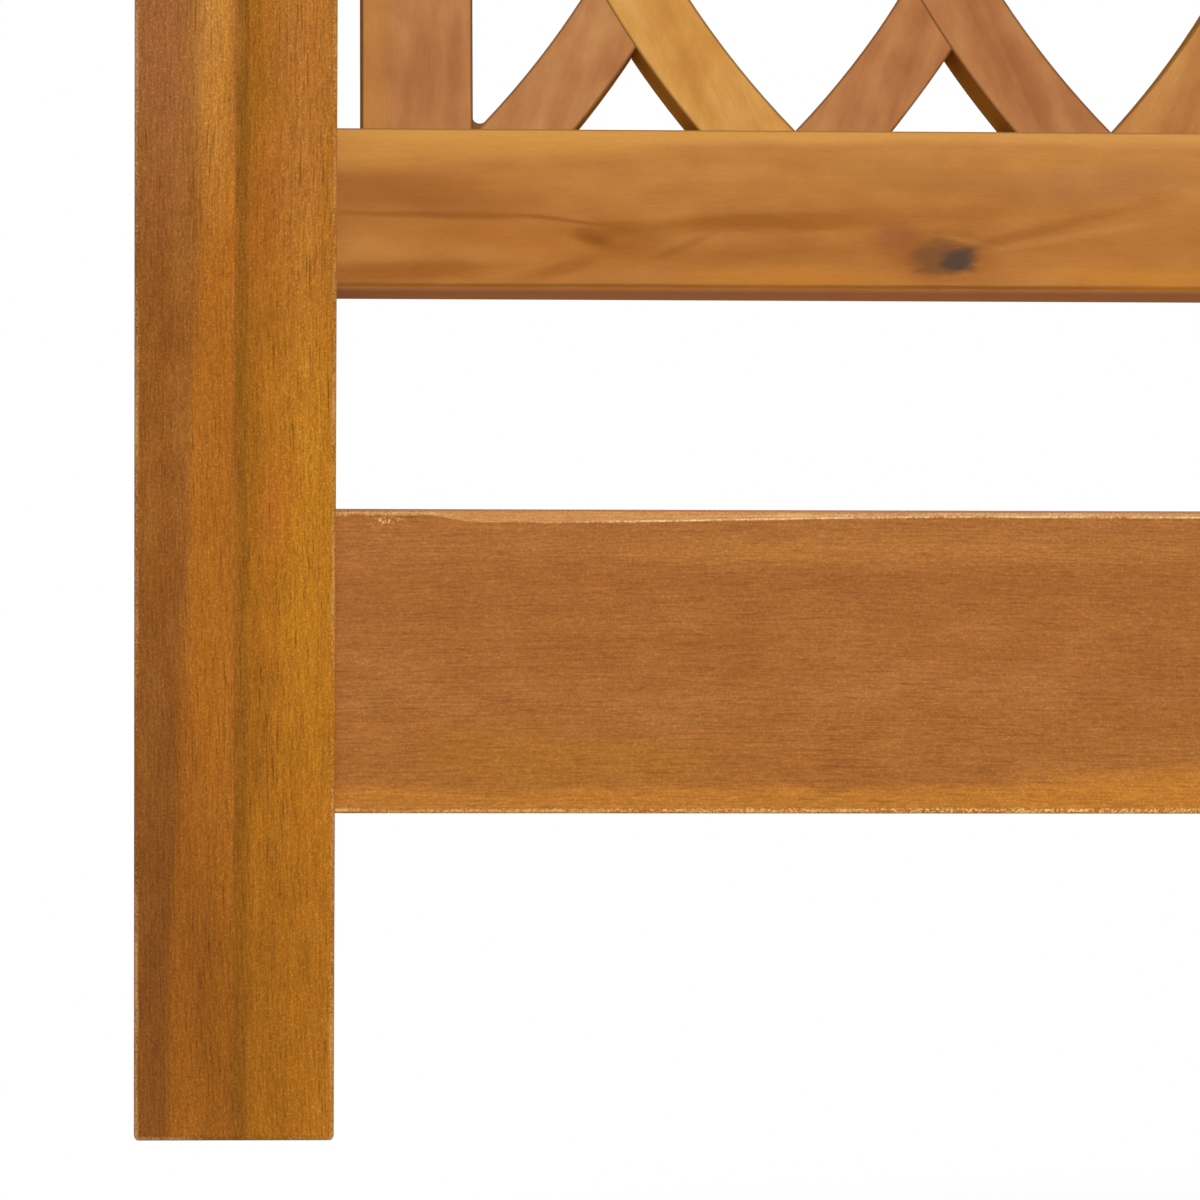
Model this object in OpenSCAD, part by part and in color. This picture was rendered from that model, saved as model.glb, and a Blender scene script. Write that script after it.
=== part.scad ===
// Hanging garden swing bench in oiled hardwood: two post end frames, a dished slat seat and a
// reclined backrest filled with a lattice of curved, half-lapped slats. Four chains rise from
// eye bolts in the armrests to one ring on each side, and each ring hangs from a pivot strap
// in a bracket under a beam. Lengths are in millimetres. The bench is drawn from its feet up,
// then moved so that the origin lies on the beam, midway between the two brackets.
// X runs along the bench, the sitter faces -Y and +Z is up.

/* [End frames] */
// Clear width between the two end frames
inner_width = 1059; // [940:1:1200]
// Side of the square posts
post = 60; // [56:1:68]
// Radius of the eased edges of the posts
post_ease = 2; // [1:0.5:3]
// Distance from the front posts' front faces to the rear posts' front faces
frame_depth = 415; // [390:1:450]
// Height of the front posts under the armrests
post_height = 400; // [380:1:440]
// Thickness of the apron, the rear rail and the side rails
rail_thick = 24; // [22:1:27]
// Radius of the eased edges of the seat rails
rail_ease = 1.2; // [0.6:0.1:2]
// Height of the side rails
side_rail_height = 90; // [70:1:100]
// Drop of the side rails' top edges below the apron's top edge
side_rail_drop = 19; // [10:1:28]
// Thickness of the tenons on the seat rails
tenon_thick = 10; // [8:1:12]
// Length of the tenons on the side rails
side_tenon = 22; // [16:1:24]

/* [Apron] */
// Height of the apron's top edge above the feet
apron_top = 189; // [176:1:210]
// Height of the apron
apron_height = 90.5; // [80:0.5:100]
// Step from the posts' front faces back to the apron's face
apron_setback = 2; // [1:0.5:5]
// Width of the stopped chamfer along the apron's top front edge, near its ends
chamfer = 3.2; // [2:0.1:4.5]
// Width of the chamfer along the middle of the apron
chamfer_middle = 1.2; // [1:0.1:2]
// Length over which the chamfer narrows from its ends towards the middle
chamfer_taper = 150; // [80:5:200]
// Plain stretch of edge between a post and the chamfer
chamfer_stop = 17; // [12:1:60]
// Length over which the chamfer runs out at each end
chamfer_runout = 28; // [8:1:40]
// Length of the stub tenons on the apron and the rear rail
stub_tenon = 12; // [8:1:16]

/* [Seat] */
// Number of seat slats
seat_slats = 7; // [6:1:7]
// Width of a seat slat
slat_width = 48; // [42:1:50]
// Thickness of a seat slat
slat_thick = 16; // [14:1:20]
// Radius of the rounded edges of the seat slats
slat_round = 3; // [1:0.5:4]
// Drop of the seat's front edge below the apron's top edge
seat_front_drop = 3; // [2:0.5:8]
// Drop of the seat's rear edge below the apron's top edge
seat_rear_drop = 27; // [22:1:36]
// Depth of the dish below the straight line from front edge to rear edge
seat_dish = 12; // [8:1:16]
// Room between the apron and the first slat
slat_front_gap = 3; // [2:0.5:6]
// Room between a slat's end and the post beside it
slat_end_gap = 3; // [2:0.5:6]
// Thickness of the seat bearers
bearer_thick = 24; // [20:1:28]
// Distance between the two middle bearers
bearer_spread = 360; // [300:5:420]
// Rise of the bearers' lower edge above the apron's lower edge
bearer_rise = 12; // [6:1:16]
// Depth of the housings that take the bearers' ends
housing = 5; // [3:0.5:8]
// Height of the rear rail
rear_rail_height = 70; // [64:1:80]
// Drop of the rear rail's top edge below the apron's top edge
rear_rail_drop = 32; // [26:1:36]

/* [Backrest] */
// Recline of the backrest from upright, in degrees
recline = 9; // [6:0.5:12]
// Rise of the lower back rail's lower edge above the apron's top edge
back_rise = 76.5; // [62:0.5:90]
// Height of the lower back rail
lower_rail_height = 68; // [62:1:78]
// Height of the crest rail at its ends
crest_height = 52; // [44:1:60]
// Extra height of the bowed crest rail at its middle
crest_bow = 14; // [6:1:24]
// Thickness of the lower back rail
back_rail_thick = 22; // [21:1:26]
// Thickness of the crest rail
crest_thick = 28; // [25:1:32]
// Radius of the rounded edges of the back rails
back_ease = 3; // [1.5:0.5:4]
// Radius of the lower back rail's upper edges, between which the slats stand
back_top_ease = 1.2; // [0.8:0.1:2]
// Length of the tenons on the back rails
back_tenon = 20; // [14:1:24]
// Height of the rear posts' tops above the crest rail's ends
post_rise = 12; // [6:1:24]
// Radius of the rear posts' rounded tops
post_top_round = 14; // [6:1:20]

/* [Lattice] */
// Number of bays, each with two curved slats that cross
bays = 7; // [6:1:8]
// Height of the lattice between the two back rails
lattice_height = 250; // [228:1:272]
// Width of a curved slat
arc_width = 30; // [26:1:34]
// Thickness of the lattice slats and the stiles
arc_thick = 20; // [17:1:20]
// Gap between neighbouring curved slats at the crest rail
arc_gap = 3; // [1.5:0.5:6]
// Width of the straight stile at each end of the lattice
stile_width = 46; // [41:0.5:51]
// Gap between a rear post and the stile beside it
stile_inset = 21; // [17:1:28]
// Gap between a stile and the foot of the first curved slat
stile_gap = 2; // [1:0.1:3]
// Thickness of the lattice tenons
lattice_tenon_thick = 8; // [6:1:10]
// Length of the lattice tenons
lattice_tenon = 14; // [10:1:18]
// Step in from a slat's side to its tenon
tenon_shoulder = 5; // [3:0.5:7]
// Height of the solid heel that closes the foot of each end bay
heel = 2.3; // [1:0.1:4]

/* [Armrests] */
// Width of an armrest
arm_width = 66; // [62:1:76]
// Thickness of an armrest
arm_thick = 28; // [24:1:34]
// Reach of an armrest beyond the front post
arm_overhang = 16; // [8:1:30]
// Radius of the front corners of an armrest, seen from above
arm_corner = 24; // [14:1:30]
// Radius of the rounded long edges of an armrest
arm_round = 5; // [3:0.5:8]
// Rise of the hollow along the underside of an armrest
arm_hollow = 6; // [3:0.5:9]
// Plain stretch between a post and that hollow
arm_hollow_end = 20; // [12:1:30]
// Side of the tenon between a front post and its armrest
arm_tenon = 36; // [28:1:40]
// Height of the tenon on a front post
arm_tenon_height = 12; // [8:1:14]
// Thickness of the tenon at an armrest's rear end
arm_rear_tenon_thick = 12; // [8:1:14]
// Width of the tenon at an armrest's rear end
arm_rear_tenon_width = 34; // [24:1:38]
// Length of the tenon at an armrest's rear end
arm_rear_tenon = 18; // [12:1:24]

/* [Frame bolts] */
// Diameter of the frame bolts
bolt_dia = 6; // [5:0.5:7]
// Reach of a frame bolt past the post's inner face
bolt_reach = 36; // [32:1:44]
// Distance from the post's inner face to the barrel nut's axis
nut_reach = 27; // [24:1:29]
// Diameter of the barrel nuts
barrel_dia = 10; // [9:0.5:12]
// Length of the barrel nuts
barrel_len = 14; // [12:1:16]
// Distance between the two bolts at each end of the apron
apron_bolt_gap = 44; // [36:1:50]
// Distance between the two bolts at each end of the rear rail
rear_bolt_gap = 32; // [28:1:36]
// Depth of the recess that takes a bolt head
recess = 6; // [5.5:0.5:9]

/* [Seat screws] */
// Diameter of the seat screws' heads
screw_head = 8; // [7:0.5:9]
// Diameter of the seat screws' shanks
screw_dia = 4; // [3.5:0.5:5]
// Length of the seat screws
screw_len = 30; // [26:1:34]
// Depth of the screw heads below the slats' faces
screw_sunk = 0.4; // [0.2:0.1:1]

/* [Chains] */
// Number of links in each chain, an odd number
chain_links = 31; // [25:2:41]
// Diameter of the link wire
link_wire = 6; // [5:0.5:7]
// Inner length of a link
link_inner = 42; // [36:1:48]
// Inner width of a link
link_inner_width = 11; // [10:0.5:13]
// Distance from the front posts' front faces back to the line of the pivots
hang_setback = 291; // [270:0.5:315]
// Distance from the rear post's face forward to the rear eye bolt, at the armrest's top
rear_eye_inset = 36; // [32:1:50]

/* [Eye bolts] */
// Diameter of the eye bolts' shanks
eye_bolt_dia = 8; // [7:0.5:9]
// Inner diameter of the eyes
eye_inner = 20; // [18:0.5:26]
// Diameter of the wire that forms the eyes
eye_wire = 8; // [7:0.5:9]
// Depth of the front eye bolts into the posts
eye_bolt_depth = 42; // [36:1:50]
// Distance from a front post's top down to the cross nut's axis
cross_nut_drop = 30; // [22:1:32]
// Diameter of the cross nuts in the front posts
cross_nut_dia = 12; // [11:0.5:14]
// Length of the cross nuts
cross_nut_len = 20; // [16:1:24]
// Outer diameter of the washers
washer_dia = 24; // [20:1:26]
// Thickness of the washers
washer_thick = 2; // [1.5:0.5:3]

/* [Rings and pivots] */
// Radius of the gathering rings to the middle of their wire
ring_radius = 40; // [38:1:46]
// Diameter of the ring wire
ring_wire = 8; // [7:0.5:9]
// Inner length of the oval connectors
oval_inner = 46; // [44:1:60]
// Inner width of the oval connectors
oval_inner_width = 22; // [20:1:26]
// Diameter of the connectors' wire
oval_wire = 8; // [7:0.5:8.5]
// Length of the threaded sleeve on a connector
sleeve_len = 18; // [14:1:22]
// Thickness of the pivot straps
strap_thick = 12; // [10:1:13]
// Distance between the two holes of a pivot strap
strap_length = 50; // [46:1:70]
// Diameter of the lower hole of a pivot strap
strap_hole = 17; // [16.5:0.5:18]
// Width of metal around the holes of a pivot strap
strap_rim = 7.5; // [6:0.5:9]
// Diameter of the pivot bolts
pivot_dia = 10; // [9:0.5:12]
// Wall of the plastic bushes in the pivot straps
bush_wall = 3; // [2:0.5:4]
// Distance from the beam down to the pivots
pivot_drop = 32; // [30:1:45]
// Length of the bracket plates
plate_length = 110; // [104:1:130]
// Width of the bracket plates
plate_width = 46; // [42:1:56]
// Thickness of the bracket plates
plate_thick = 6; // [4:0.5:7]
// Radius of the bracket plates' corners
plate_corner = 6; // [3:0.5:9]
// Thickness of the brackets' cheeks
cheek_thick = 5; // [4:0.5:8]
// Width of the brackets' cheeks
cheek_width = 34; // [30:1:40]
// Distance between the fixing holes along the plate
fixing_x = 80; // [76:1:90]
// Distance between the fixing holes across the plate
fixing_y = 24; // [20:1:28]
// Diameter of the fixing holes
fixing_dia = 9; // [7:0.5:10]

/* [Fits] */
// Clearance on each side of a tenon, a lap or a housing
joint_fit = 0.1; // [0.05:0.05:0.3]
// Room above the tenon of a front post
tenon_room = 0.6; // [0.3:0.1:0.9]
// Clearance around a bolt or screw in its bore
bore_fit = 0.2; // [0.1:0.05:0.4]
// Radial clearance of a pivot bolt in its bush
running_fit = 0.05; // [0.03:0.01:0.08]
// Clearance on each side of a pivot strap
cheek_fit = 0.4; // [0.3:0.1:0.8]
// Gap where one ring or link bears on the next
bearing_gap = 0.3; // [0.2:0.05:0.5]

/* [Hidden] */
$fn = 48;
arc_fn = 240;
eps = 0.5;
// Overlap of a rear post's two lengths at the mitre
bend_overlap = 0.2;
wood_dark = "#A5672F";
wood_mid = "#B57436";
wood_light = "#CC8C45";
steel = "#B9BCBE";

half_inner = inner_width / 2;
post_mid = half_inner + post / 2;
half_outer = half_inner + post;

apron_bottom = apron_top - apron_height;
apron_back = apron_setback + rail_thick;
apron_mid = apron_top - apron_height / 2;
apron_axis = apron_setback + rail_thick / 2;
side_rail_top = apron_top - side_rail_drop;
rear_rail_top = apron_top - rear_rail_drop;
rear_rail_y = frame_depth + (post - rail_thick) / 2;
rear_rail_mid = rear_rail_top - rear_rail_height / 2;
rear_rail_axis = rear_rail_y + rail_thick / 2;
tenon_step = 12;
chamfer_end = half_inner - chamfer_stop;
chamfer_full = chamfer_end - chamfer_runout;
chamfer_narrow = chamfer_full - chamfer_taper;
chamfer_steps = 8;

// Proportions of the fasteners' heads and nuts to their shanks
flange_ratio = 2.1;
head_ratio = 1.6;
socket_ratio = 0.7;
hex_ratio = 1.7;
hex_head_ratio = 0.65;
nut_ratio = 0.8;
sleeve_ratio = 1.5;
// Heights of a frame bolt's head and its flange, and the depth of its hexagon socket
bolt_head = 4.8;
bolt_flange = 1.2;
socket_depth = 2.8;
// Thread that shows past a nut, and room past the end of a bolt in its bore
thread_end = 2;
bore_room = 2;

// The reclined part of the rear posts starts level with the apron's top edge
back_z = apron_top + back_rise;
back_slope = tan(recline);
post_back_step = (post - back_rail_thick) / 2;
back_y = frame_depth + back_rise * back_slope + post_back_step / cos(recline);
lattice_v = lower_rail_height;
crest_v = lattice_v + lattice_height;
back_axis = back_rail_thick / 2;
arc_t = back_axis - arc_thick / 2;
crest_t = back_axis - crest_thick / 2;
post_top_v = crest_v + crest_height + post_rise;
crest_radius = (pow(half_inner, 2) + pow(crest_bow, 2)) / (2 * crest_bow);

// Each curved slat stands upright where it meets the crest rail, so its height and its
// sideways reach settle the radius and the angle at the foot
lattice_start = -half_inner + stile_inset + stile_width + stile_gap;
bay_pitch = -2 * lattice_start / bays;
arc_reach = bay_pitch - arc_gap / 2 - arc_width;
foot_angle = 2 * atan(arc_reach / lattice_height);
arc_radius = lattice_height / sin(foot_angle);
heel_share = 0.9;
heel_hollow = (heel * sin(foot_angle) + stile_gap * cos(foot_angle))
    / (1 + heel_share * cos(foot_angle) - sin(foot_angle));
arc_centre_x = -arc_radius * cos(foot_angle);
foot_span = arc_centre_x + sqrt(pow(arc_radius + arc_width, 2) - pow(lattice_height, 2));

// The seat slats lie as chords of one arc from the front edge to the rear edge, which reaches
// seat_overlap behind the rear posts' front faces
seat_front = [apron_back + slat_front_gap, apron_top - seat_front_drop];
seat_overlap = 10;
seat_rear = [frame_depth + seat_overlap, apron_top - seat_rear_drop];
seat_chord = norm(seat_rear - seat_front);
seat_tilt = atan2(seat_rear[1] - seat_front[1], seat_rear[0] - seat_front[0]);
seat_radius = (pow(seat_chord / 2, 2) + pow(seat_dish, 2)) / (2 * seat_dish);
seat_half = asin(seat_chord / 2 / seat_radius);
slat_half = asin(slat_width / 2 / seat_radius);
seat_centre = (seat_front + seat_rear) / 2
    + (seat_radius - seat_dish) * [-sin(seat_tilt), cos(seat_tilt)];
slat_step = 2 * (seat_half - slat_half) / (seat_slats - 1);
bearer_bottom = apron_bottom + bearer_rise;
end_bearer_x = half_inner - bearer_thick / 2;
bearer_xs = [-end_bearer_x, -bearer_spread / 2, bearer_spread / 2, end_bearer_x];

arm_top = post_height + arm_thick;
arm_mid = post_height + arm_thick / 2;

// Stack of the hanging hardware, from the eyes of the eye bolts up to the beam
eye_radius = (eye_inner + eye_wire) / 2;
shoulder_height = 4;
eye_sink = 1;
eye_z = arm_top + washer_thick + shoulder_height + eye_radius + eye_wire / 2 - eye_sink;
front_eye_y = post / 2;
rear_eye_y = rear_face(arm_top) - rear_eye_inset;
link_radius = (link_inner_width + link_wire) / 2;
link_half = (link_inner + link_wire) / 2;
link_step = link_inner - bearing_gap;
top_link = ring_radius - ring_wire / 2 - bearing_gap - link_wire / 2 + link_half;
bottom_link = eye_radius - eye_wire / 2 - bearing_gap - link_wire / 2 + link_half;
front_run = top_link + (chain_links - 1) * link_step + bottom_link;
ring_z = eye_z + sqrt(pow(front_run, 2) - pow(hang_setback - front_eye_y, 2));
oval_half = (oval_inner + oval_wire) / 2;
oval_z = ring_z + ring_radius - ring_wire / 2 - bearing_gap - oval_wire / 2 + oval_half;
oval_radius = (oval_inner_width + oval_wire) / 2;
oval_drop = oval_inner_width / 2
    - sqrt(pow(oval_inner_width / 2, 2) - pow(strap_thick / 2, 2));
strap_hole_z = oval_z + oval_half - oval_wire / 2 - oval_drop - bearing_gap + strap_hole / 2;
pivot_z = strap_hole_z + strap_length;
beam_height = pivot_z + pivot_drop;
bush_radius = pivot_dia / 2 + running_fit + bush_wall;
cheek_x = strap_thick / 2 + cheek_fit;
bracket_half = cheek_x + cheek_thick;
rear_shank = arm_thick + 2 * washer_thick + eye_bolt_dia * nut_ratio + thread_end;

sides = ["left", "right"];

// A length rounded to whole hundredths of a millimetre
function hundredths(length) = round(100 * length) / 100;

// Y of the rear posts' front face at height z, above the bend
function rear_face(z) = frame_depth + (z - apron_top) * back_slope;

// Lean of seat slat i from level, and the middle of its top face as [y, z]
function slat_lean(i) = seat_tilt - seat_half + slat_half + i * slat_step;
function slat_top(i) = seat_centre
    + seat_radius * cos(slat_half) * [sin(slat_lean(i)), -cos(slat_lean(i))];

// Lower corner of slat i: side is -1 in front and 1 behind
function slat_corner(i, side) = slat_top(i)
    + side * slat_width / 2 * [cos(slat_lean(i)), sin(slat_lean(i))]
    + slat_thick * [sin(slat_lean(i)), -cos(slat_lean(i))];

function bay_x(k) = lattice_start + (k - 1) * bay_pitch;

module place() {
    translate([0, -hang_setback, -beam_height]) children();
}

// The left end is drawn as the right end's mirror image
module at_side(side) {
    mirror([side == "left" ? 1 : 0, 0, 0]) children();
}

module both_sides() {
    for (s = sides) at_side(s) children();
}

// Backrest frame: X along the rail, Y through its thickness, Z up the slope
module on_back() {
    translate([0, back_y, back_z]) rotate([-recline, 0, 0]) children();
}

// Extrudes an outline drawn as (y, z) along X, centred
module along_x(length) {
    rotate([90, 0, 90]) linear_extrude(length, center = true) children();
}

// Extrudes an outline drawn as (x, z) from y to y + length
module along_y(y, length) {
    translate([0, y + length, 0]) rotate([90, 0, 0]) linear_extrude(length) children();
}

module eased(w, h, r) {
    translate([r, 0]) square([w - 2 * r, h]);
    translate([0, r]) square([w, h - 2 * r]);
    for (x = [r, w - r], y = [r, h - r]) translate([x, y]) circle(r);
}

// Rectangle with one radius at its lower corners and another at its upper ones
module eased_unlike(w, h, low, high) {
    translate([0, low]) square([w, h - low - high]);
    translate([low, 0]) square([w - 2 * low, h / 2]);
    translate([high, h / 2]) square([w - 2 * high, h / 2]);
    for (x = [low, w - low]) translate([x, low]) circle(low);
    for (x = [high, w - high]) translate([x, h - high]) circle(high);
}

// Rectangle with its corners cut off, c wide
module bevelled(w, h, c) {
    polygon([[c, 0], [w - c, 0], [w, c], [w, h - c], [w - c, h], [c, h], [0, h - c], [0, c]]);
}

module hex(across, height) {
    cylinder(h = height, d = across / cos(30), $fn = 6);
}

module torus(radius, wire) {
    rotate_extrude($fn = 96) translate([radius, 0]) circle(d = wire);
}

// A link or an oval connector, upright in the XZ plane
module oval(inner, inner_width, wire) {
    bend = (inner_width + wire) / 2;
    half_run = (inner - inner_width) / 2;
    for (s = [-1, 1]) {
        translate([s * bend, 0, 0]) cylinder(h = 2 * half_run, d = wire, center = true);
        translate([0, 0, s * half_run]) rotate([s * 90, 0, 0])
            rotate_extrude(angle = 180) translate([bend, 0]) circle(d = wire);
    }
}

// Frame bolt along X with its head recessed in the right post's outer face
module frame_bolt_solid() {
    seat = half_outer - recess;
    translate([half_inner - bolt_reach, 0, 0]) rotate([0, 90, 0])
        cylinder(h = seat - half_inner + bolt_reach, d = bolt_dia);
    difference() {
        union() {
            translate([seat, 0, 0]) rotate([0, 90, 0])
                cylinder(h = bolt_flange, d = bolt_dia * flange_ratio);
            translate([seat, 0, 0]) rotate([0, 90, 0]) cylinder(h = bolt_head, d = bolt_dia * head_ratio);
        }
        translate([seat + bolt_head - socket_depth, 0, 0]) rotate([0, 90, 0])
            hex(bolt_dia * socket_ratio, recess);
    }
}

module frame_bolt_bore() {
    translate([half_inner - bolt_reach - bore_room, 0, 0]) rotate([0, 90, 0])
        cylinder(h = post + bolt_reach + bore_room, r = bolt_dia / 2 + bore_fit);
    translate([half_outer - recess, 0, 0]) rotate([0, 90, 0])
        cylinder(h = recess + eps, r = bolt_dia * flange_ratio / 2 + 2 * bore_fit);
}

module barrel_nut_solid() {
    difference() {
        translate([half_inner - nut_reach, barrel_len / 2, 0]) rotate([90, 0, 0])
            cylinder(h = barrel_len, d = barrel_dia);
        translate([half_inner - bolt_reach, 0, 0]) rotate([0, 90, 0])
            cylinder(h = bolt_reach, r = bolt_dia / 2 + joint_fit / 2);
    }
}

// Blind hole for a barrel nut, open at the back face of a rail of the given thickness
module barrel_nut_bore(thick) {
    depth = thick / 2 + barrel_len / 2 + joint_fit;
    translate([half_inner - nut_reach, thick / 2 + eps, 0]) rotate([90, 0, 0])
        cylinder(h = depth + eps, d = barrel_dia + joint_fit);
}

// Axes of the frame bolts at the right end: two in the apron and two in the rear rail
module seat_bolt_axes() {
    for (s = [-1, 1]) {
        translate([0, apron_axis, apron_mid + s * apron_bolt_gap / 2]) children();
        translate([0, rear_rail_axis, rear_rail_mid + s * rear_bolt_gap / 2]) children();
    }
}

// And one in each back rail
module back_bolt_axes() {
    for (v = [lower_rail_height / 2, crest_v + crest_height / 2])
        on_back() translate([0, back_axis, v]) children();
}

// Tenons at both ends of a rail, centred on the outline's own axis
module end_tenons(length, thick, height, grow = 0) {
    for (s = [-1, 1]) translate([s * (half_inner + (length - eps) / 2), 0, 0])
        cube([length + eps + 2 * grow, thick + 2 * grow, height + 2 * grow], center = true);
}

module apron_tenons(grow = 0) {
    translate([0, apron_axis, apron_mid])
        end_tenons(stub_tenon, tenon_thick, apron_height - 2 * tenon_step, grow);
}

module rear_rail_tenons(grow = 0) {
    translate([0, rear_rail_axis, rear_rail_mid])
        end_tenons(stub_tenon, tenon_thick, rear_rail_height - tenon_step, grow);
}

module back_rail_tenons(grow = 0) {
    on_back() {
        translate([0, back_axis, lower_rail_height / 2])
            end_tenons(back_tenon, tenon_thick, lower_rail_height - 2 * tenon_step, grow);
        translate([0, back_axis, crest_v + crest_height / 2])
            end_tenons(back_tenon, tenon_thick, crest_height - 2 * tenon_step, grow);
    }
}

// Side rail tenons of the right end, from front post to rear post
module side_tenons(grow = 0) {
    length = frame_depth - post + 2 * (side_tenon + grow);
    height = side_rail_height - 2 * tenon_step + 2 * grow;
    middle = side_rail_top - side_rail_height / 2;
    translate([half_inner + rail_thick / 2, (post + frame_depth) / 2, middle])
        cube([tenon_thick + 2 * grow, length, height], center = true);
}

module arm_rear_tenon_solid(grow = 0) {
    length = arm_rear_tenon + eps + grow;
    translate([post_mid, rear_face(post_height) - eps + length / 2, arm_mid])
        cube([arm_rear_tenon_width + 2 * grow, length, arm_rear_tenon_thick + 2 * grow], center = true);
}

// End frames

// Post outline with eased lower corners, foot at the origin
module foot_outline(height) {
    translate([-post / 2, 0]) {
        translate([post_ease, 0]) square([post - 2 * post_ease, height]);
        translate([0, post_ease]) square([post, height - post_ease]);
        for (x = [post_ease, post - post_ease]) translate([x, post_ease]) circle(post_ease);
    }
}

module post_bar(height) {
    intersection() {
        translate([-post / 2, -post / 2, 0]) linear_extrude(height) eased(post, post, post_ease);
        along_x(post + eps) foot_outline(height);
        along_y(-(post + eps) / 2, post + eps) foot_outline(height);
    }
}

module front_post(side) {
    color(wood_mid) place() at_side(side) difference() {
        translate([post_mid, post / 2, 0]) union() {
            post_bar(post_height);
            translate([-arm_tenon / 2, -arm_tenon / 2, post_height - eps])
                cube([arm_tenon, arm_tenon, arm_tenon_height + eps]);
        }
        apron_tenons(joint_fit);
        side_tenons(joint_fit);
        seat_bolt_axes() frame_bolt_bore();
        front_eye_bore();
        cross_nut_bore();
    }
}

// Rear post: an upright foot and a reclined length, mitred together at the bend
module rear_post_body() {
    reach = 4 * post_top_v;
    translate([post_mid, frame_depth, 0]) {
        intersection() {
            translate([-post / 2, 0, 0]) linear_extrude(reach) bevelled(post, post, post_ease);
            translate([0, post / 2, 0]) along_x(post + eps) foot_outline(reach);
            bend_block(-reach, reach + bend_overlap);
        }
        intersection() {
            translate([0, 0, apron_top]) rotate([-recline, 0, 0]) {
                translate([-post / 2, 0, -post]) linear_extrude(reach) bevelled(post, post, post_ease);
            }
            translate([0, 0, apron_top]) rotate([-recline, 0, 0]) along_x(post + eps) rear_top_outline();
            bend_block(0, reach);
        }
    }
}

// Block that starts at the given distance from the mitre plane of the bend
module bend_block(start, height) {
    translate([-post, 0, apron_top]) rotate([-recline / 2, 0, 0])
        translate([0, -post, start]) cube([2 * post, 4 * post, height]);
}

// Side outline of the reclined length, with a rounded top
module rear_top_outline() {
    top = (back_z - apron_top) / cos(recline) + post_back_step * back_slope + post_top_v;
    r = post_top_round;
    translate([0, -post]) square([post, post + top - r]);
    translate([r, 0]) square([post - 2 * r, top]);
    for (y = [r, post - r]) translate([y, top - r]) circle(r);
}

module rear_post(side) {
    color(wood_mid) place() at_side(side) difference() {
        rear_post_body();
        rear_rail_tenons(joint_fit);
        back_rail_tenons(joint_fit);
        side_tenons(joint_fit);
        arm_rear_tenon_solid(joint_fit);
        seat_bolt_axes() frame_bolt_bore();
        back_bolt_axes() frame_bolt_bore();
    }
}

module side_rail(side) {
    bottom = side_rail_top - side_rail_height;
    color(wood_dark) place() at_side(side) {
        along_y(post, frame_depth - post)
            translate([half_inner, bottom]) eased(rail_thick, side_rail_height, rail_ease);
        side_tenons();
    }
}

// Seat rails

// Depth of the stopped chamfer at distance x from the apron's middle: it swells near the ends
// and narrows smoothly towards the middle
function chamfer_depth(x) = sin(45) * (x > chamfer_full
    ? chamfer * swell((chamfer_end - x) / chamfer_runout)
    : chamfer_middle + (chamfer - chamfer_middle) * swell((x - chamfer_narrow) / chamfer_taper));

// Smooth rise from 0 to 1
function swell(share) = (1 - cos(180 * share)) / 2;

// Cutter for that chamfer, with its edge on the X axis and its face to the front and up
module chamfer_cutter() {
    places = concat(
        [for (i = [0 : chamfer_steps]) chamfer_end - chamfer_runout * i / chamfer_steps],
        [for (i = [1 : chamfer_steps]) chamfer_full - chamfer_taper * i / chamfer_steps]
    );
    points = [for (x = places) [x, -chamfer_depth(x)]];
    rotate([45, 0, 0]) along_y(-2 * chamfer, 4 * chamfer)
        polygon(concat(
            [[-chamfer_end, chamfer]],
            [for (p = points) [-p.x, p.y]],
            [for (i = [1 : len(points)]) points[len(points) - i]],
            [[chamfer_end, chamfer]]
        ));
}

module bearer_housings() {
    for (x = bearer_xs) translate([x, 0, 0]) bearer_blank(joint_fit);
}

module front_apron() {
    color(wood_dark) place() difference() {
        union() {
            translate([0, apron_setback, apron_bottom]) along_x(inner_width)
                eased(rail_thick, apron_height, rail_ease);
            apron_tenons();
        }
        translate([0, apron_setback, apron_top]) chamfer_cutter();
        both_sides() seat_bolt_axes() {
            frame_bolt_bore();
            barrel_nut_bore(rail_thick);
        }
        bearer_housings();
    }
}

module rear_rail() {
    color(wood_dark) place() difference() {
        union() {
            translate([0, rear_rail_y, rear_rail_top - rear_rail_height])
                along_x(inner_width) eased(rail_thick, rear_rail_height, rail_ease);
            rear_rail_tenons();
        }
        both_sides() seat_bolt_axes() {
            frame_bolt_bore();
            barrel_nut_bore(rail_thick);
        }
        bearer_housings();
    }
}

// Seat

// Bearer outline: its top edge has one flat for each slat
function bearer_outline(front, rear) = concat(
    [[front, bearer_bottom], [front, slat_corner(0, -1)[1]]],
    [for (i = [0 : seat_slats - 1], side = [-1, 1]) slat_corner(i, side)],
    [[rear, slat_corner(seat_slats - 1, 1)[1]], [rear, bearer_bottom]]
);

module bearer_blank(grow = 0) {
    along_x(bearer_thick + 2 * grow)
        polygon(bearer_outline(apron_back - housing - grow, rear_rail_y + housing + grow));
}

module seat_bearer(i) {
    color(wood_mid) place() difference() {
        translate([bearer_xs[i - 1], 0, 0]) bearer_blank();
        for (k = [0 : seat_slats - 1]) on_slat(k) translate([bearer_xs[i - 1], 0, 0]) screw_bore();
    }
}

module on_slat(i) {
    translate([0, slat_top(i)[0], slat_top(i)[1]]) rotate([slat_lean(i), 0, 0]) children();
}

module screw_bore() {
    screw_head_shape(screw_head / 2 + bore_fit, screw_sunk + eps);
    translate([0, 0, -screw_sunk - screw_len - bore_fit])
        cylinder(h = screw_len, r = screw_dia / 2 + bore_fit / 2);
}

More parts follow.
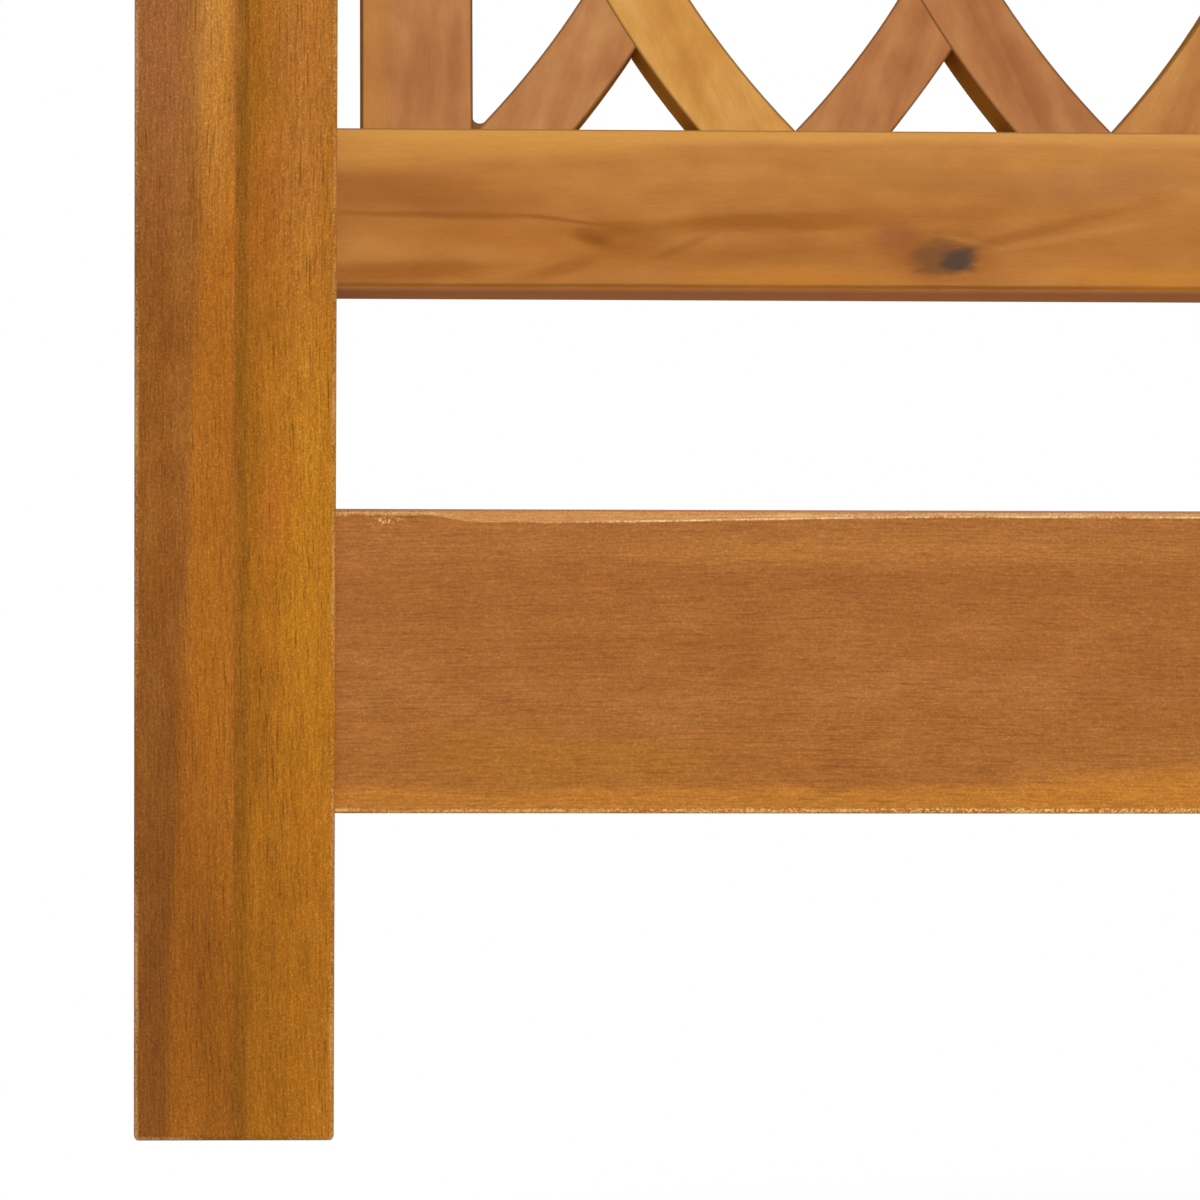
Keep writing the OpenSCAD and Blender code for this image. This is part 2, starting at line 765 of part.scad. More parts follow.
// Countersunk head: its flat top lies screw_sunk below the face, with room of the given height above
module screw_head_shape(radius, room) {
    depth = radius - screw_dia / 2;
    translate([0, 0, -screw_sunk - depth]) cylinder(h = depth, r1 = screw_dia / 2, r2 = radius);
    translate([0, 0, -screw_sunk]) cylinder(h = room, r = radius);
}

module seat_screw_solid() {
    depth = (screw_head - screw_dia) / 2;
    translate([0, 0, -screw_sunk - screw_len]) cylinder(h = screw_len - depth, d = screw_dia);
    translate([0, 0, -screw_sunk - depth]) cylinder(h = depth, d1 = screw_dia, d2 = screw_head);
}

module seat_slat(i) {
    color(wood_light) place() on_slat(i - 1) difference() {
        translate([0, -slat_width / 2, -slat_thick])
            along_x(inner_width - 2 * slat_end_gap) eased(slat_width, slat_thick, slat_round);
        for (x = bearer_xs) translate([x, 0, 0]) screw_bore();
    }
}

module seat_screws() {
    color(steel) place() for (i = [0 : seat_slats - 1], x = bearer_xs)
        on_slat(i) translate([x, 0, 0]) seat_screw_solid();
}

// Backrest

// One curved slat in its bay: its concave edge starts at the origin and it rises to the right
module arc_outline(grow = 0) {
    intersection() {
        difference() {
            translate([arc_centre_x, lattice_height]) circle(arc_radius + arc_width + grow, $fn = arc_fn);
            translate([arc_centre_x, lattice_height]) circle(arc_radius - grow, $fn = arc_fn);
        }
        square([bay_pitch, lattice_height]);
    }
}

// The same slat in bay k, rising to the right or mirrored to rise to the left
module in_bay(k, rising) {
    if (rising == "right") translate([bay_x(k), 0]) children();
    else translate([bay_x(k) + bay_pitch, 0]) mirror([1, 0]) children();
}

module arc_tenons(grow = 0) {
    translate([tenon_shoulder - grow, -lattice_tenon - grow])
        square([foot_span - 2 * tenon_shoulder + 2 * grow, lattice_tenon + eps + grow]);
    translate([arc_reach + tenon_shoulder - grow, lattice_height - eps])
        square([arc_width - 2 * tenon_shoulder + 2 * grow, lattice_tenon + eps + grow]);
}

module stile_tenons(grow = 0) {
    for (v = [-lattice_tenon - grow, lattice_height - eps])
        translate([tenon_shoulder - grow, v])
            square([stile_width - 2 * tenon_shoulder + 2 * grow, lattice_tenon + eps + grow]);
}

module lattice_tenon_slab(grow = 0) {
    thick = lattice_tenon_thick + 2 * grow;
    on_back() translate([0, 0, lattice_v]) along_y(back_axis - thick / 2, thick) children();
}

// Small heel that closes the gap between a stile and the first slat. The hollow above it
// runs smoothly into the slat's side
module heel_outline() {
    middle = [heel_share * heel_hollow - stile_gap, heel + heel_hollow];
    inside = heel_hollow + eps;
    difference() {
        polygon([
            [-stile_gap, 0],
            [middle.x + inside * cos(foot_angle), 0],
            middle + inside * [cos(foot_angle), -sin(foot_angle)],
            [-stile_gap, middle.y]
        ]);
        translate(middle) circle(heel_hollow);
    }
}

// Half lap: at each crossing the slats rising to the left keep their front half
module lattice_slat(k, rising) {
    is_end = rising == "right" ? k == 1 : k == bays;
    other = rising == "right" ? "left" : "right";
    lap_from = rising == "right" ? arc_t - eps : arc_t + arc_thick / 2 - joint_fit / 2;
    color(rising == "right" ? wood_mid : wood_light) place() {
        difference() {
            on_back() translate([0, 0, lattice_v]) along_y(arc_t, arc_thick) in_bay(k, rising) {
                arc_outline();
                if (is_end) heel_outline();
            }
            on_back() translate([0, 0, lattice_v]) along_y(lap_from, arc_thick / 2 + eps + joint_fit / 2)
                in_bay(k, other) arc_outline(joint_fit);
        }
        lattice_tenon_slab() in_bay(k, rising) arc_tenons();
    }
}

module lattice_mortises() {
    for (k = [1 : bays], rising = ["left", "right"])
        lattice_tenon_slab(joint_fit) in_bay(k, rising) arc_tenons(joint_fit);
    both_sides() lattice_tenon_slab(joint_fit) stile_place() stile_tenons(joint_fit);
}

// The right stile stands between the lattice and the right rear post
module stile_place() {
    translate([half_inner - stile_inset - stile_width, 0]) children();
}

module back_stile(side) {
    color(wood_mid) place() at_side(side) {
        on_back() translate([0, 0, lattice_v]) along_y(arc_t, arc_thick)
            stile_place() square([stile_width, lattice_height]);
        lattice_tenon_slab() stile_place() stile_tenons();
    }
}

module back_lower_rail() {
    color(wood_light) place() difference() {
        union() {
            on_back() along_x(inner_width)
                eased_unlike(back_rail_thick, lower_rail_height, back_ease, back_top_ease);
            on_back() translate([0, back_axis, lower_rail_height / 2])
                end_tenons(back_tenon, tenon_thick, lower_rail_height - 2 * tenon_step);
        }
        lattice_mortises();
        both_sides() back_bolt_axes() {
            frame_bolt_bore();
            barrel_nut_bore(back_rail_thick);
        }
    }
}

// Bowed top edge of the crest rail, drawn as (x, z) from the rail's lower edge
module crest_outline() {
    intersection() {
        translate([-half_inner, 0]) square([inner_width, crest_height + crest_bow]);
        translate([0, crest_height + crest_bow - crest_radius]) circle(crest_radius, $fn = 4 * arc_fn);
    }
}

module back_crest_rail() {
    color(wood_light) place() difference() {
        union() {
            on_back() intersection() {
                translate([0, 0, crest_v]) along_y(crest_t, crest_thick) crest_outline();
                translate([0, crest_t, crest_v]) along_x(inner_width)
                    eased(crest_thick, crest_height + crest_bow + back_ease, back_ease);
            }
            on_back() translate([0, back_axis, crest_v + crest_height / 2])
                end_tenons(back_tenon, tenon_thick, crest_height - 2 * tenon_step);
        }
        lattice_mortises();
        both_sides() back_bolt_axes() {
            frame_bolt_bore();
            barrel_nut_bore(crest_thick);
        }
    }
}

// Armrests

// Rounded edge of an armrest, from an axis out to the given radius
module arm_edge(radius) {
    intersection() {
        translate([-radius, 0]) eased(2 * radius, arm_thick, arm_round);
        square([radius, arm_thick]);
    }
}

// Blank of the right armrest: a straight bar with rounded edges that run on around its nose
module arm_blank() {
    nose = arm_corner - arm_overhang;
    flat_half = arm_width / 2 - arm_corner;
    translate([post_mid, 0, post_height]) {
        along_y(nose, rear_face(arm_top) - nose)
            translate([-arm_width / 2, 0]) eased(arm_width, arm_thick, arm_round);
        translate([0, nose, 0]) mirror([0, 1, 0]) along_x(2 * flat_half) arm_edge(arm_corner);
        for (s = [-1, 1]) translate([s * flat_half, nose, 0]) rotate([0, 0, s < 0 ? 180 : -90])
            rotate_extrude(angle = 90) arm_edge(arm_corner);
    }
}

// Hollow along the underside, and the slope of the rear post's face
module arm_cutters() {
    hollow_half = (frame_depth - post) / 2 - arm_hollow_end;
    hollow_radius = (pow(hollow_half, 2) + pow(arm_hollow, 2)) / (2 * arm_hollow);
    along_x(arm_width + 2 * eps) {
        translate([(frame_depth + post) / 2, post_height + arm_hollow - hollow_radius])
            circle(hollow_radius, $fn = arc_fn);
        polygon([[rear_face(post_height), post_height], [rear_face(arm_top), arm_top],
            [rear_face(arm_top) + eps, arm_top], [rear_face(arm_top) + eps, post_height - eps],
            [rear_face(post_height - eps), post_height - eps]]);
    }
}

module armrest(side) {
    color(wood_light) place() at_side(side) difference() {
        union() {
            difference() {
                arm_blank();
                translate([post_mid, 0, 0]) arm_cutters();
            }
            arm_rear_tenon_solid();
        }
        translate([post_mid, post / 2, post_height - eps])
            linear_extrude(arm_tenon_height + tenon_room + eps)
                square(arm_tenon + 2 * joint_fit, center = true);
        front_eye_bore();
        rear_eye_bore();
    }
}

// Fasteners

module frame_bolts() {
    color(steel) place() both_sides() {
        seat_bolt_axes() frame_bolt_solid();
        back_bolt_axes() frame_bolt_solid();
    }
}

module barrel_nuts() {
    color(steel) place() both_sides() {
        seat_bolt_axes() barrel_nut_solid();
        back_bolt_axes() barrel_nut_solid();
    }
}

module front_eye_bore() {
    translate([post_mid, front_eye_y, post_height - eye_bolt_depth - bore_room])
        cylinder(h = eye_bolt_depth + arm_thick + bore_room + eps, r = eye_bolt_dia / 2 + bore_fit);
}

module rear_eye_bore() {
    translate([post_mid, rear_eye_y, post_height - eps])
        cylinder(h = arm_thick + 2 * eps, r = eye_bolt_dia / 2 + bore_fit);
}

// Blind hole for the cross nut, open at the front post's rear face
module cross_nut_bore() {
    depth = post / 2 + cross_nut_len / 2 + joint_fit;
    translate([post_mid, post + eps, post_height - cross_nut_drop]) rotate([90, 0, 0])
        cylinder(h = depth + eps, d = cross_nut_dia + joint_fit);
}

// Eye bolt with the middle of its eye at the origin and a shank of the given length below its shoulder
module eye_bolt_solid(shank) {
    shoulder = arm_top + washer_thick - eye_z;
    rotate([0, 90, 0]) torus(eye_radius, eye_wire);
    translate([0, 0, shoulder]) cylinder(h = shoulder_height, d = eye_bolt_dia * 2);
    translate([0, 0, shoulder - shank]) cylinder(h = shank + shoulder_height, d = eye_bolt_dia);
}

module eye_bolts() {
    color(steel) place() both_sides() {
        translate([post_mid, front_eye_y, eye_z])
            eye_bolt_solid(washer_thick + arm_thick + eye_bolt_depth);
        translate([post_mid, rear_eye_y, eye_z]) eye_bolt_solid(rear_shank);
    }
}

module washer_solid() {
    difference() {
        cylinder(h = washer_thick, d = washer_dia);
        translate([0, 0, -eps]) cylinder(h = washer_thick + 2 * eps, r = eye_bolt_dia / 2 + bore_fit);
    }
}

// Washers, the hexagon nuts of the rear eye bolts and the cross nuts of the front ones
module eye_bolt_fixings() {
    height = eye_bolt_dia * nut_ratio;
    color(steel) place() both_sides() translate([post_mid, 0, 0]) {
        for (y = [front_eye_y, rear_eye_y]) translate([0, y, arm_top]) washer_solid();
        translate([0, rear_eye_y, post_height - washer_thick]) washer_solid();
        translate([0, rear_eye_y, post_height - washer_thick - height]) difference() {
            hex(eye_bolt_dia * hex_ratio, height);
            translate([0, 0, -eps]) cylinder(h = height + 2 * eps, r = eye_bolt_dia / 2 + joint_fit / 2);
        }
        translate([0, front_eye_y, post_height - cross_nut_drop]) difference() {
            rotate([90, 0, 0]) cylinder(h = cross_nut_len, d = cross_nut_dia, center = true);
            cylinder(h = 2 * cross_nut_dia, r = eye_bolt_dia / 2 + joint_fit / 2, center = true);
        }
    }
}

// Chains and pivots

// Taut chain from a ring down to an eye: each link stands at a right angle to the next.
// The links of each chain share its length equally, so both chains of a pair are taut
module chain(eye_y) {
    run = norm([hang_setback - eye_y, ring_z - eye_z]);
    step = (run - top_link - bottom_link) / (chain_links - 1);
    lean = atan2(eye_y - hang_setback, ring_z - eye_z);
    translate([post_mid, hang_setback, ring_z]) rotate([lean, 0, 0])
        for (i = [0 : chain_links - 1])
            translate([0, 0, -top_link - i * step]) rotate([0, 0, 90 * (i % 2)])
                oval(hundredths(step + bearing_gap), link_inner_width, link_wire);
}

module chain_front(side) {
    color(steel) place() at_side(side) chain(front_eye_y);
}

module chain_rear(side) {
    color(steel) place() at_side(side) chain(rear_eye_y);
}

module gathering_ring(side) {
    color(steel) place() at_side(side) translate([post_mid, hang_setback, ring_z])
        rotate([0, 90, 0]) torus(ring_radius, ring_wire);
}

module oval_connector(side) {
    color(steel) place() at_side(side) translate([post_mid, hang_setback, oval_z]) {
        oval(oval_inner, oval_inner_width, oval_wire);
        translate([oval_radius, 0, -sleeve_len / 2]) hex(oval_wire * sleeve_ratio, sleeve_len);
    }
}

module strap_outline() {
    hub = bush_radius + strap_rim;
    foot = strap_hole / 2 + strap_rim;
    half_waist = 0.8 * foot;
    circle(hub);
    translate([0, -strap_length]) circle(foot);
    translate([-half_waist, -strap_length]) square([2 * half_waist, strap_length]);
}

module pivot_strap(side) {
    color(steel) place() at_side(side) translate([post_mid, hang_setback, pivot_z]) difference() {
        along_x(strap_thick) strap_outline();
        rotate([0, 90, 0])
            cylinder(h = strap_thick + 2 * eps, r = bush_radius + joint_fit / 2, center = true);
        translate([0, 0, -strap_length]) rotate([0, 90, 0])
            cylinder(h = strap_thick + 2 * eps, d = strap_hole, center = true);
    }
}

module pivot_bushes() {
    color("white") place() both_sides() translate([post_mid, hang_setback, pivot_z])
        rotate([0, 90, 0]) difference() {
            cylinder(h = strap_thick, r = bush_radius, center = true);
            cylinder(h = strap_thick + 2 * eps, r = pivot_dia / 2 + running_fit, center = true);
        }
}

// Bracket: a plate screwed under the beam with two cheeks for the pivot bolt
module beam_bracket(side) {
    color(steel) place() at_side(side) translate([post_mid, hang_setback, beam_height]) difference() {
        union() {
            translate([-plate_length / 2, -plate_width / 2, -plate_thick])
                linear_extrude(plate_thick) eased(plate_length, plate_width, plate_corner);
            for (s = [-1, 1]) translate([s * (cheek_x + cheek_thick / 2), 0, 0]) along_x(cheek_thick) {
                translate([-cheek_width / 2, -pivot_drop])
                    square([cheek_width, pivot_drop - plate_thick / 2]);
                translate([0, -pivot_drop]) circle(cheek_width / 2);
            }
        }
        for (x = [-1, 1], y = [-1, 1]) translate([x * fixing_x / 2, y * fixing_y / 2, -plate_thick - eps])
            cylinder(h = plate_thick + 2 * eps, d = fixing_dia);
        translate([0, 0, -pivot_drop]) rotate([0, 90, 0])
            cylinder(h = 2 * bracket_half + 2 * eps, r = pivot_dia / 2 + bore_fit, center = true);
    }
}

// Pivot bolts, each with a hexagon head outside and a nut inside
module pivot_bolts() {
    head = pivot_dia * hex_head_ratio;
    nut = pivot_dia * nut_ratio;
    color(steel) place() both_sides() translate([post_mid, hang_setback, pivot_z]) rotate([0, 90, 0]) {
        translate([0, 0, -bracket_half - nut - thread_end])
            cylinder(h = 2 * bracket_half + nut + thread_end + head / 2, d = pivot_dia);
        translate([0, 0, bracket_half]) hex(pivot_dia * hex_ratio, head);
        translate([0, 0, -bracket_half - nut]) hex(pivot_dia * hex_ratio, nut);
    }
}

for (s = sides) {
    front_post(s);
    rear_post(s);
    side_rail(s);
    back_stile(s);
    armrest(s);
    chain_front(s);
    chain_rear(s);
    gathering_ring(s);
    oval_connector(s);
    pivot_strap(s);
    beam_bracket(s);
}
for (i = [1 : len(bearer_xs)]) seat_bearer(i);
for (i = [1 : seat_slats]) seat_slat(i);
for (i = [1 : bays]) {
    lattice_slat(i, "right");
    lattice_slat(i, "left");
}
front_apron();
rear_rail();
back_lower_rail();
back_crest_rail();
seat_screws();
frame_bolts();
barrel_nuts();
eye_bolts();
eye_bolt_fixings();
pivot_bushes();
pivot_bolts();
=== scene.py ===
"""Dresses a hanging garden swing bench: oiled hardwood, zinc-plated chains and brackets."""

import logging
import math
from dataclasses import dataclass, replace
from enum import Enum

import bpy
import numpy as np
from mathutils import Euler, Matrix, Vector


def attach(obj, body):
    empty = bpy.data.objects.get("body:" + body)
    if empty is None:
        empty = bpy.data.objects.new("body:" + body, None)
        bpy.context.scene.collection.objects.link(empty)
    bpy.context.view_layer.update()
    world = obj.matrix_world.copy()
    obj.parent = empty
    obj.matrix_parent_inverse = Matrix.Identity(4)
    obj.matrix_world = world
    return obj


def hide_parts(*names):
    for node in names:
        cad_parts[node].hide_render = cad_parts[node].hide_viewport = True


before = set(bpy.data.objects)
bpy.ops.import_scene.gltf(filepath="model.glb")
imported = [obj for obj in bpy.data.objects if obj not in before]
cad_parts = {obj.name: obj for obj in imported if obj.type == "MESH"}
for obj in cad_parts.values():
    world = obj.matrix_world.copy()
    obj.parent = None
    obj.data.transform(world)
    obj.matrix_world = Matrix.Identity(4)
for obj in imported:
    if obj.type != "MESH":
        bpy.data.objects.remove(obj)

for leftover in ("Cube", "Light", "Camera"):
    if leftover in bpy.data.objects:
        bpy.data.objects.remove(bpy.data.objects[leftover])
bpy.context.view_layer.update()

LOG = logging.getLogger("swing_bench")
Socket = bpy.types.NodeSocket
Value = float | Socket
Triple = tuple[float, float, float]
Colour = tuple[float, float, float, float]
X_AXIS, Y_AXIS, Z_AXIS = Vector((1, 0, 0)), Vector((0, 1, 0)), Vector((0, 0, 1))


def linear(code: str) -> Colour:
    """Scene-linear colour of an sRGB code.

    Args:
        code: six hexadecimal digits after a hash sign.

    Returns:
        Red, green, blue and an alpha of 1.
    """
    shares = [int(code[i : i + 2], 16) / 255 for i in (1, 3, 5)]
    red, green, blue = (
        c / 12.92 if c <= 0.04045 else ((c + 0.055) / 1.055) ** 2.4 for c in shares
    )
    return red, green, blue, 1.0


class Graph:
    """Node tree, written as short calls on its sockets."""

    def __init__(self, tree: bpy.types.NodeTree) -> None:
        """Empties the tree.

        Args:
            tree: what the nodes are made in.
        """
        self.tree = tree
        tree.nodes.clear()

    def node(self, kind: str, *values: object, **settings: object) -> bpy.types.Node:
        """A new node.

        Args:
            kind: the node's type name.
            values: what its first inputs are linked or set to.
            settings: properties of the node and their values.

        Returns:
            The node.
        """
        made = self.tree.nodes.new(kind)
        for name, value in settings.items():
            setattr(made, name, value)
        for socket, value in zip(made.inputs, values):
            self.feed(socket, value)
        return made

    def feed(self, socket: Socket, value: object) -> None:
        """Links a socket to another, or sets its plain value.

        Args:
            socket: the input.
            value: another node's output, or a plain value.
        """
        if isinstance(value, bpy.types.NodeSocket):
            self.tree.links.new(value, socket)
        else:
            socket.default_value = value

    def math(self, operation: str, *values: Value) -> Socket:
        """Result of a Math node.

        Args:
            operation: the node's operation.
            values: its inputs, as numbers or sockets.

        Returns:
            The result's socket.
        """
        return self.node("ShaderNodeMath", *values, operation=operation).outputs[0]

    def times(self, first: Value, second: Value) -> Socket:
        """Product of two numbers or sockets."""
        return self.math("MULTIPLY", first, second)

    def minus(self, first: Value, second: Value) -> Socket:
        """Difference of two numbers or sockets."""
        return self.math("SUBTRACT", first, second)

    def scaled(self, value: Value, gain: Value, start: Value) -> Socket:
        """Value times gain, added to start."""
        return self.math("MULTIPLY_ADD", value, gain, start)

    def absolute(self, value: Value) -> Socket:
        """Value without its sign."""
        return self.math("ABSOLUTE", value)

    def vector(self, operation: str, *values: object) -> Socket:
        """Result of a Vector Math node.

        Args:
            operation: the node's operation.
            values: its inputs, as triples or sockets.

        Returns:
            The result's socket.
        """
        made = self.node("ShaderNodeVectorMath", *values, operation=operation)
        scalar = operation in ("DOT_PRODUCT", "LENGTH", "DISTANCE")
        return made.outputs["Value" if scalar else "Vector"]

    def triple(self, x: Value, y: Value, z: Value) -> Socket:
        """One vector from three numbers or sockets."""
        return self.node("ShaderNodeCombineXYZ", x, y, z).outputs[0]

    def parts(self, vector: Socket) -> list[Socket]:
        """The three components of a vector."""
        return list(self.node("ShaderNodeSeparateXYZ", vector).outputs)

    def noise(
        self,
        place: Socket,
        stretch: Triple,
        shift: float = 0.0,
        detail: float = 2.0,
        rough: float = 0.5,
    ) -> Socket:
        """Noise of about -1 to 1 round 0.

        Args:
            place: position in metres.
            stretch: features per metre along each axis.
            shift: offset that picks another part of the noise.
            detail: octaves added to the first.
            rough: strength of each further octave.

        Returns:
            The noise's socket.
        """
        spread = self.vector("MULTIPLY", place, stretch)
        moved = self.vector("ADD", spread, (shift, shift * 0.7, shift * 1.3))
        made = self.node("ShaderNodeTexNoise", noise_dimensions="3D")
        self.feed(made.inputs["Vector"], moved)
        self.feed(made.inputs["Scale"], 1.0)
        self.feed(made.inputs["Detail"], detail)
        self.feed(made.inputs["Roughness"], rough)
        return self.scaled(made.outputs[0], 4.0, -2.0)

    def smooth(self, value: Value, start: float, end: float) -> Socket:
        """Smooth step from 0 at start to 1 at end.

        Args:
            value: what is measured.
            start: value where the step is 0.
            end: value where it is 1, which may be the lower one.

        Returns:
            The step's socket.
        """
        span = (value, start, end, 0.0, 1.0)
        made = self.node("ShaderNodeMapRange", *span, interpolation_type="SMOOTHSTEP")
        return made.outputs[0]

    def mix(self, share: Value, first: object, second: object) -> Socket:
        """Blend of two colours.

        Args:
            share: part that the second colour takes, from 0 to 1.
            first: colour at 0.
            second: colour at 1.

        Returns:
            The blend's socket.
        """
        made = self.node("ShaderNodeMix", data_type="RGBA", clamp_factor=True)
        for index, value in ((0, share), (6, first), (7, second)):
            self.feed(made.inputs[index], value)
        return made.outputs[2]

    def seen(self) -> Socket:
        """1 for rays of the camera, mirrors and clear surfaces, 0 for all others.

        Returns:
            The number's socket.
        """
        path = self.node("ShaderNodeLightPath").outputs
        direct = self.math("MAXIMUM", path["Is Camera Ray"], path["Is Glossy Ray"])
        return self.math("MAXIMUM", direct, path["Is Transmission Ray"])


class Surface(Graph):
    """Node tree of one material, with its shader."""

    def __init__(self, name: str) -> None:
        """Starts an empty material with a shader joined to its output.

        Args:
            name: the material's name.
        """
        self.material = bpy.data.materials.new(name)
        self.material.use_nodes = True
        super().__init__(self.material.node_tree)
        self.shader = self.node("ShaderNodeBsdfPrincipled")
        self.node("ShaderNodeOutputMaterial", self.shader.outputs[0])

    def give(self, name: str, value: object) -> None:
        """Links one of the shader's inputs to a socket, or sets its plain value."""
        self.feed(self.shader.inputs[name], value)

    def bump(self, height: Socket, depth: float, strength: float) -> None:
        """Gives the shader a relief.

        Args:
            height: the relief, in units of its depth.
            depth: the depth in metres.
            strength: how far it turns the light, from 0 to 1.
        """
        made = self.node("ShaderNodeBump")
        relief = {"Height": height, "Distance": depth, "Strength": strength}
        for name, value in relief.items():
            self.feed(made.inputs[name], value)
        self.give("Normal", made.outputs[0])

    def place(self) -> Socket:
        """Position on the object in the row frame, in metres."""
        return self.node("ShaderNodeTexCoord").outputs["Object"]


class Arris(Enum):
    """Where the lines along a board's edges lie: light lines, or a dark outline of painted
    shade.
    """

    STRAIGHT = "along the edges of its box"
    CURVED = "along the two curved sides"
    NONE = "nowhere"


@dataclass(frozen=True)
class Tone:
    """Three colours of one board's wood, as sRGB codes."""

    dark: str
    middle: str
    light: str


@dataclass(frozen=True)
class Stripe:
    """Band of another tone that runs along a board, between two slanting lines.

    The lines give the distance across the board, in metres: a constant and a slope.
    """

    low: tuple[float, float]
    high: tuple[float, float]
    colour: str
    strength: float = 0.6
    soft: float = 0.003
    wobble: float = 0.002


@dataclass(frozen=True)
class Patch:
    """Soft oval of another tone: place along and across, half sizes, turn in degrees."""

    along: float
    across: float
    length: float
    width: float
    colour: str
    strength: float = 0.5
    turn: float = 0.0
    rag: float = 0.5
    flecked: bool = False


@dataclass(frozen=True)
class Knot:
    """Sound knot: its place along and across the board and its half length."""

    along: float
    across: float
    size: float
    rim: str = "#8A5228"
    heart: str = "#6B4C36"
    core: str = "#4F4640"


@dataclass(frozen=True)
class Chamfer:
    """Stopped chamfer along a board's upper front edge, in metres from the board's middle.

    It starts at end, is widest at full and has narrowed to slim at narrow.
    """

    end: float
    full: float
    narrow: float
    wide: float
    slim: float
    colour: str
    line: str


@dataclass(frozen=True)
class WoodFinish:
    """How one board's oiled wood looks.

    The strengths of bands, rings, cloud, fibre and specks say how far each moves the tone
    from dark to light; that of the specks also sets their painted glints of light.
    """

    tone: Tone
    seed: float
    second: Tone | None = None
    joint: float = 0.0
    bands: float = 0.26
    rings: float = 0.14
    cloud: float = 0.08
    fibre: float = 0.14
    # Strength of the fine specks and of the painted glints laid on the brightest of them.
    specks_and_glints: float = 0.14
    pores: float = 0.35
    sway: float = 0.004
    lean: float = 0.0
    # Strength of the line along the arrises: a light line, or the dark outline of painted
    # shade.
    edge_line: float = 0.45
    edge: str = "#DDA766"
    # True paints shade on the edges: a dark outline in the edge colour in place of the light
    # line.
    painted_edge_shade: bool = False
    gloss: float = 0.1
    # Tone painted on the faces that look across the board, as painted shading of those sides.
    painted_flank_shading: str | None = None
    stripes: tuple[Stripe, ...] = ()
    patches: tuple[Patch, ...] = ()
    knots: tuple[Knot, ...] = ()
    chamfer: Chamfer | None = None
    arris: Arris = Arris.STRAIGHT


@dataclass(frozen=True)
class MetalFinish:
    """Plated or stainless steel: its tone, its mottling and its gloss."""

    colour: str
    shade: str
    roughness: float = 0.34
    spangle: float = 180.0
    seed: float = 3.0
    smoothest: float = 0.16

    def material(self, name: str) -> bpy.types.Material:
        """Material with a faintly mottled plating and fine scratches.

        Args:
            name: the material's name.

        Returns:
            The material.
        """
        made = Surface(name)
        place = made.place()
        cloud = made.noise(place, (self.spangle,) * 3, self.seed, 3.0, 0.6)
        grain = made.noise(place, (1400.0, 1400.0, 500.0), self.seed + 9)
        share = made.scaled(cloud, 0.3, 0.4)
        rough = made.scaled(cloud, 0.06, self.roughness)
        made.give("Base Color", made.mix(share, linear(self.colour), linear(self.shade)))
        made.give("Roughness", made.math("MAXIMUM", rough, self.smoothest))
        made.give("Metallic", 1.0)
        made.bump(grain, 0.00004, 0.5)
        return made.material


@dataclass(frozen=True)
class PlasticFinish:
    """Moulded plastic of the pivot bushes."""

    colour: str
    shade: str
    roughness: float = 0.5

    def material(self, name: str) -> bpy.types.Material:
        """Material with a faint cloud of a second tone.

        Args:
            name: the material's name.

        Returns:
            The material.
        """
        made = Surface(name)
        cloud = made.noise(made.place(), (300.0,) * 3, 5.0)
        share = made.scaled(cloud, 0.3, 0.3)
        made.give("Base Color", made.mix(share, linear(self.colour), linear(self.shade)))
        made.give("Roughness", made.scaled(cloud, 0.05, self.roughness))
        made.bump(cloud, 0.00005, 0.4)
        return made.material


@dataclass(frozen=True)
class Curve:
    """Arc that a slat's sides follow: its centre in the row frame and its middle radius."""

    centre: Vector
    radius: float
    half_width: float


class Board:
    """One timber node, with axes along its grain, across its face and through it."""

    def __init__(
        self, name: str, grain: Vector, across: Vector, curve: Curve | None = None
    ) -> None:
        """Finds the board's middle and half sizes along its axes.

        Args:
            name: the node's name.
            grain: direction of the grain.
            across: direction across the face that shows most.
            curve: the arc of a curved slat.
        """
        self.name = name
        self.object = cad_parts[name]
        depth = grain.cross(across)
        self.turn = Matrix((grain, across, depth)).transposed()
        mesh = self.object.data
        places = np.empty(len(mesh.vertices) * 3)
        mesh.vertices.foreach_get("co", places)
        local = places.reshape(-1, 3) @ np.array(self.turn)
        low, high = local.min(0), local.max(0)
        self.half = (high - low) / 2
        self.centre = self.turn @ Vector((low + high) / 2)
        self.curve = curve

    def local(self, graph: Surface) -> Socket:
        """Position along, across and through the board, from its middle.

        Args:
            graph: the material's tree.

        Returns:
            The position's socket.
        """
        spot = (graph.place(), self.centre, self.turn.to_euler())
        return graph.node("ShaderNodeMapping", *spot, vector_type="TEXTURE").outputs[0]

    def arc(self) -> tuple[float, float]:
        """Place of the arc's centre along and across the board."""
        offset = self.turn.transposed() @ (self.curve.centre - self.centre)
        return offset.x, offset.y

    def dress(self, finish: WoodFinish) -> None:
        """Gives the node its own wood.

        Args:
            finish: how the wood looks.
        """
        material = Timber(self, finish).write()
        for entry in self.object.material_slots:
            entry.material = material
        LOG.info("%s: wood, grain along %s", self.name, tuple(self.turn.col[0]))


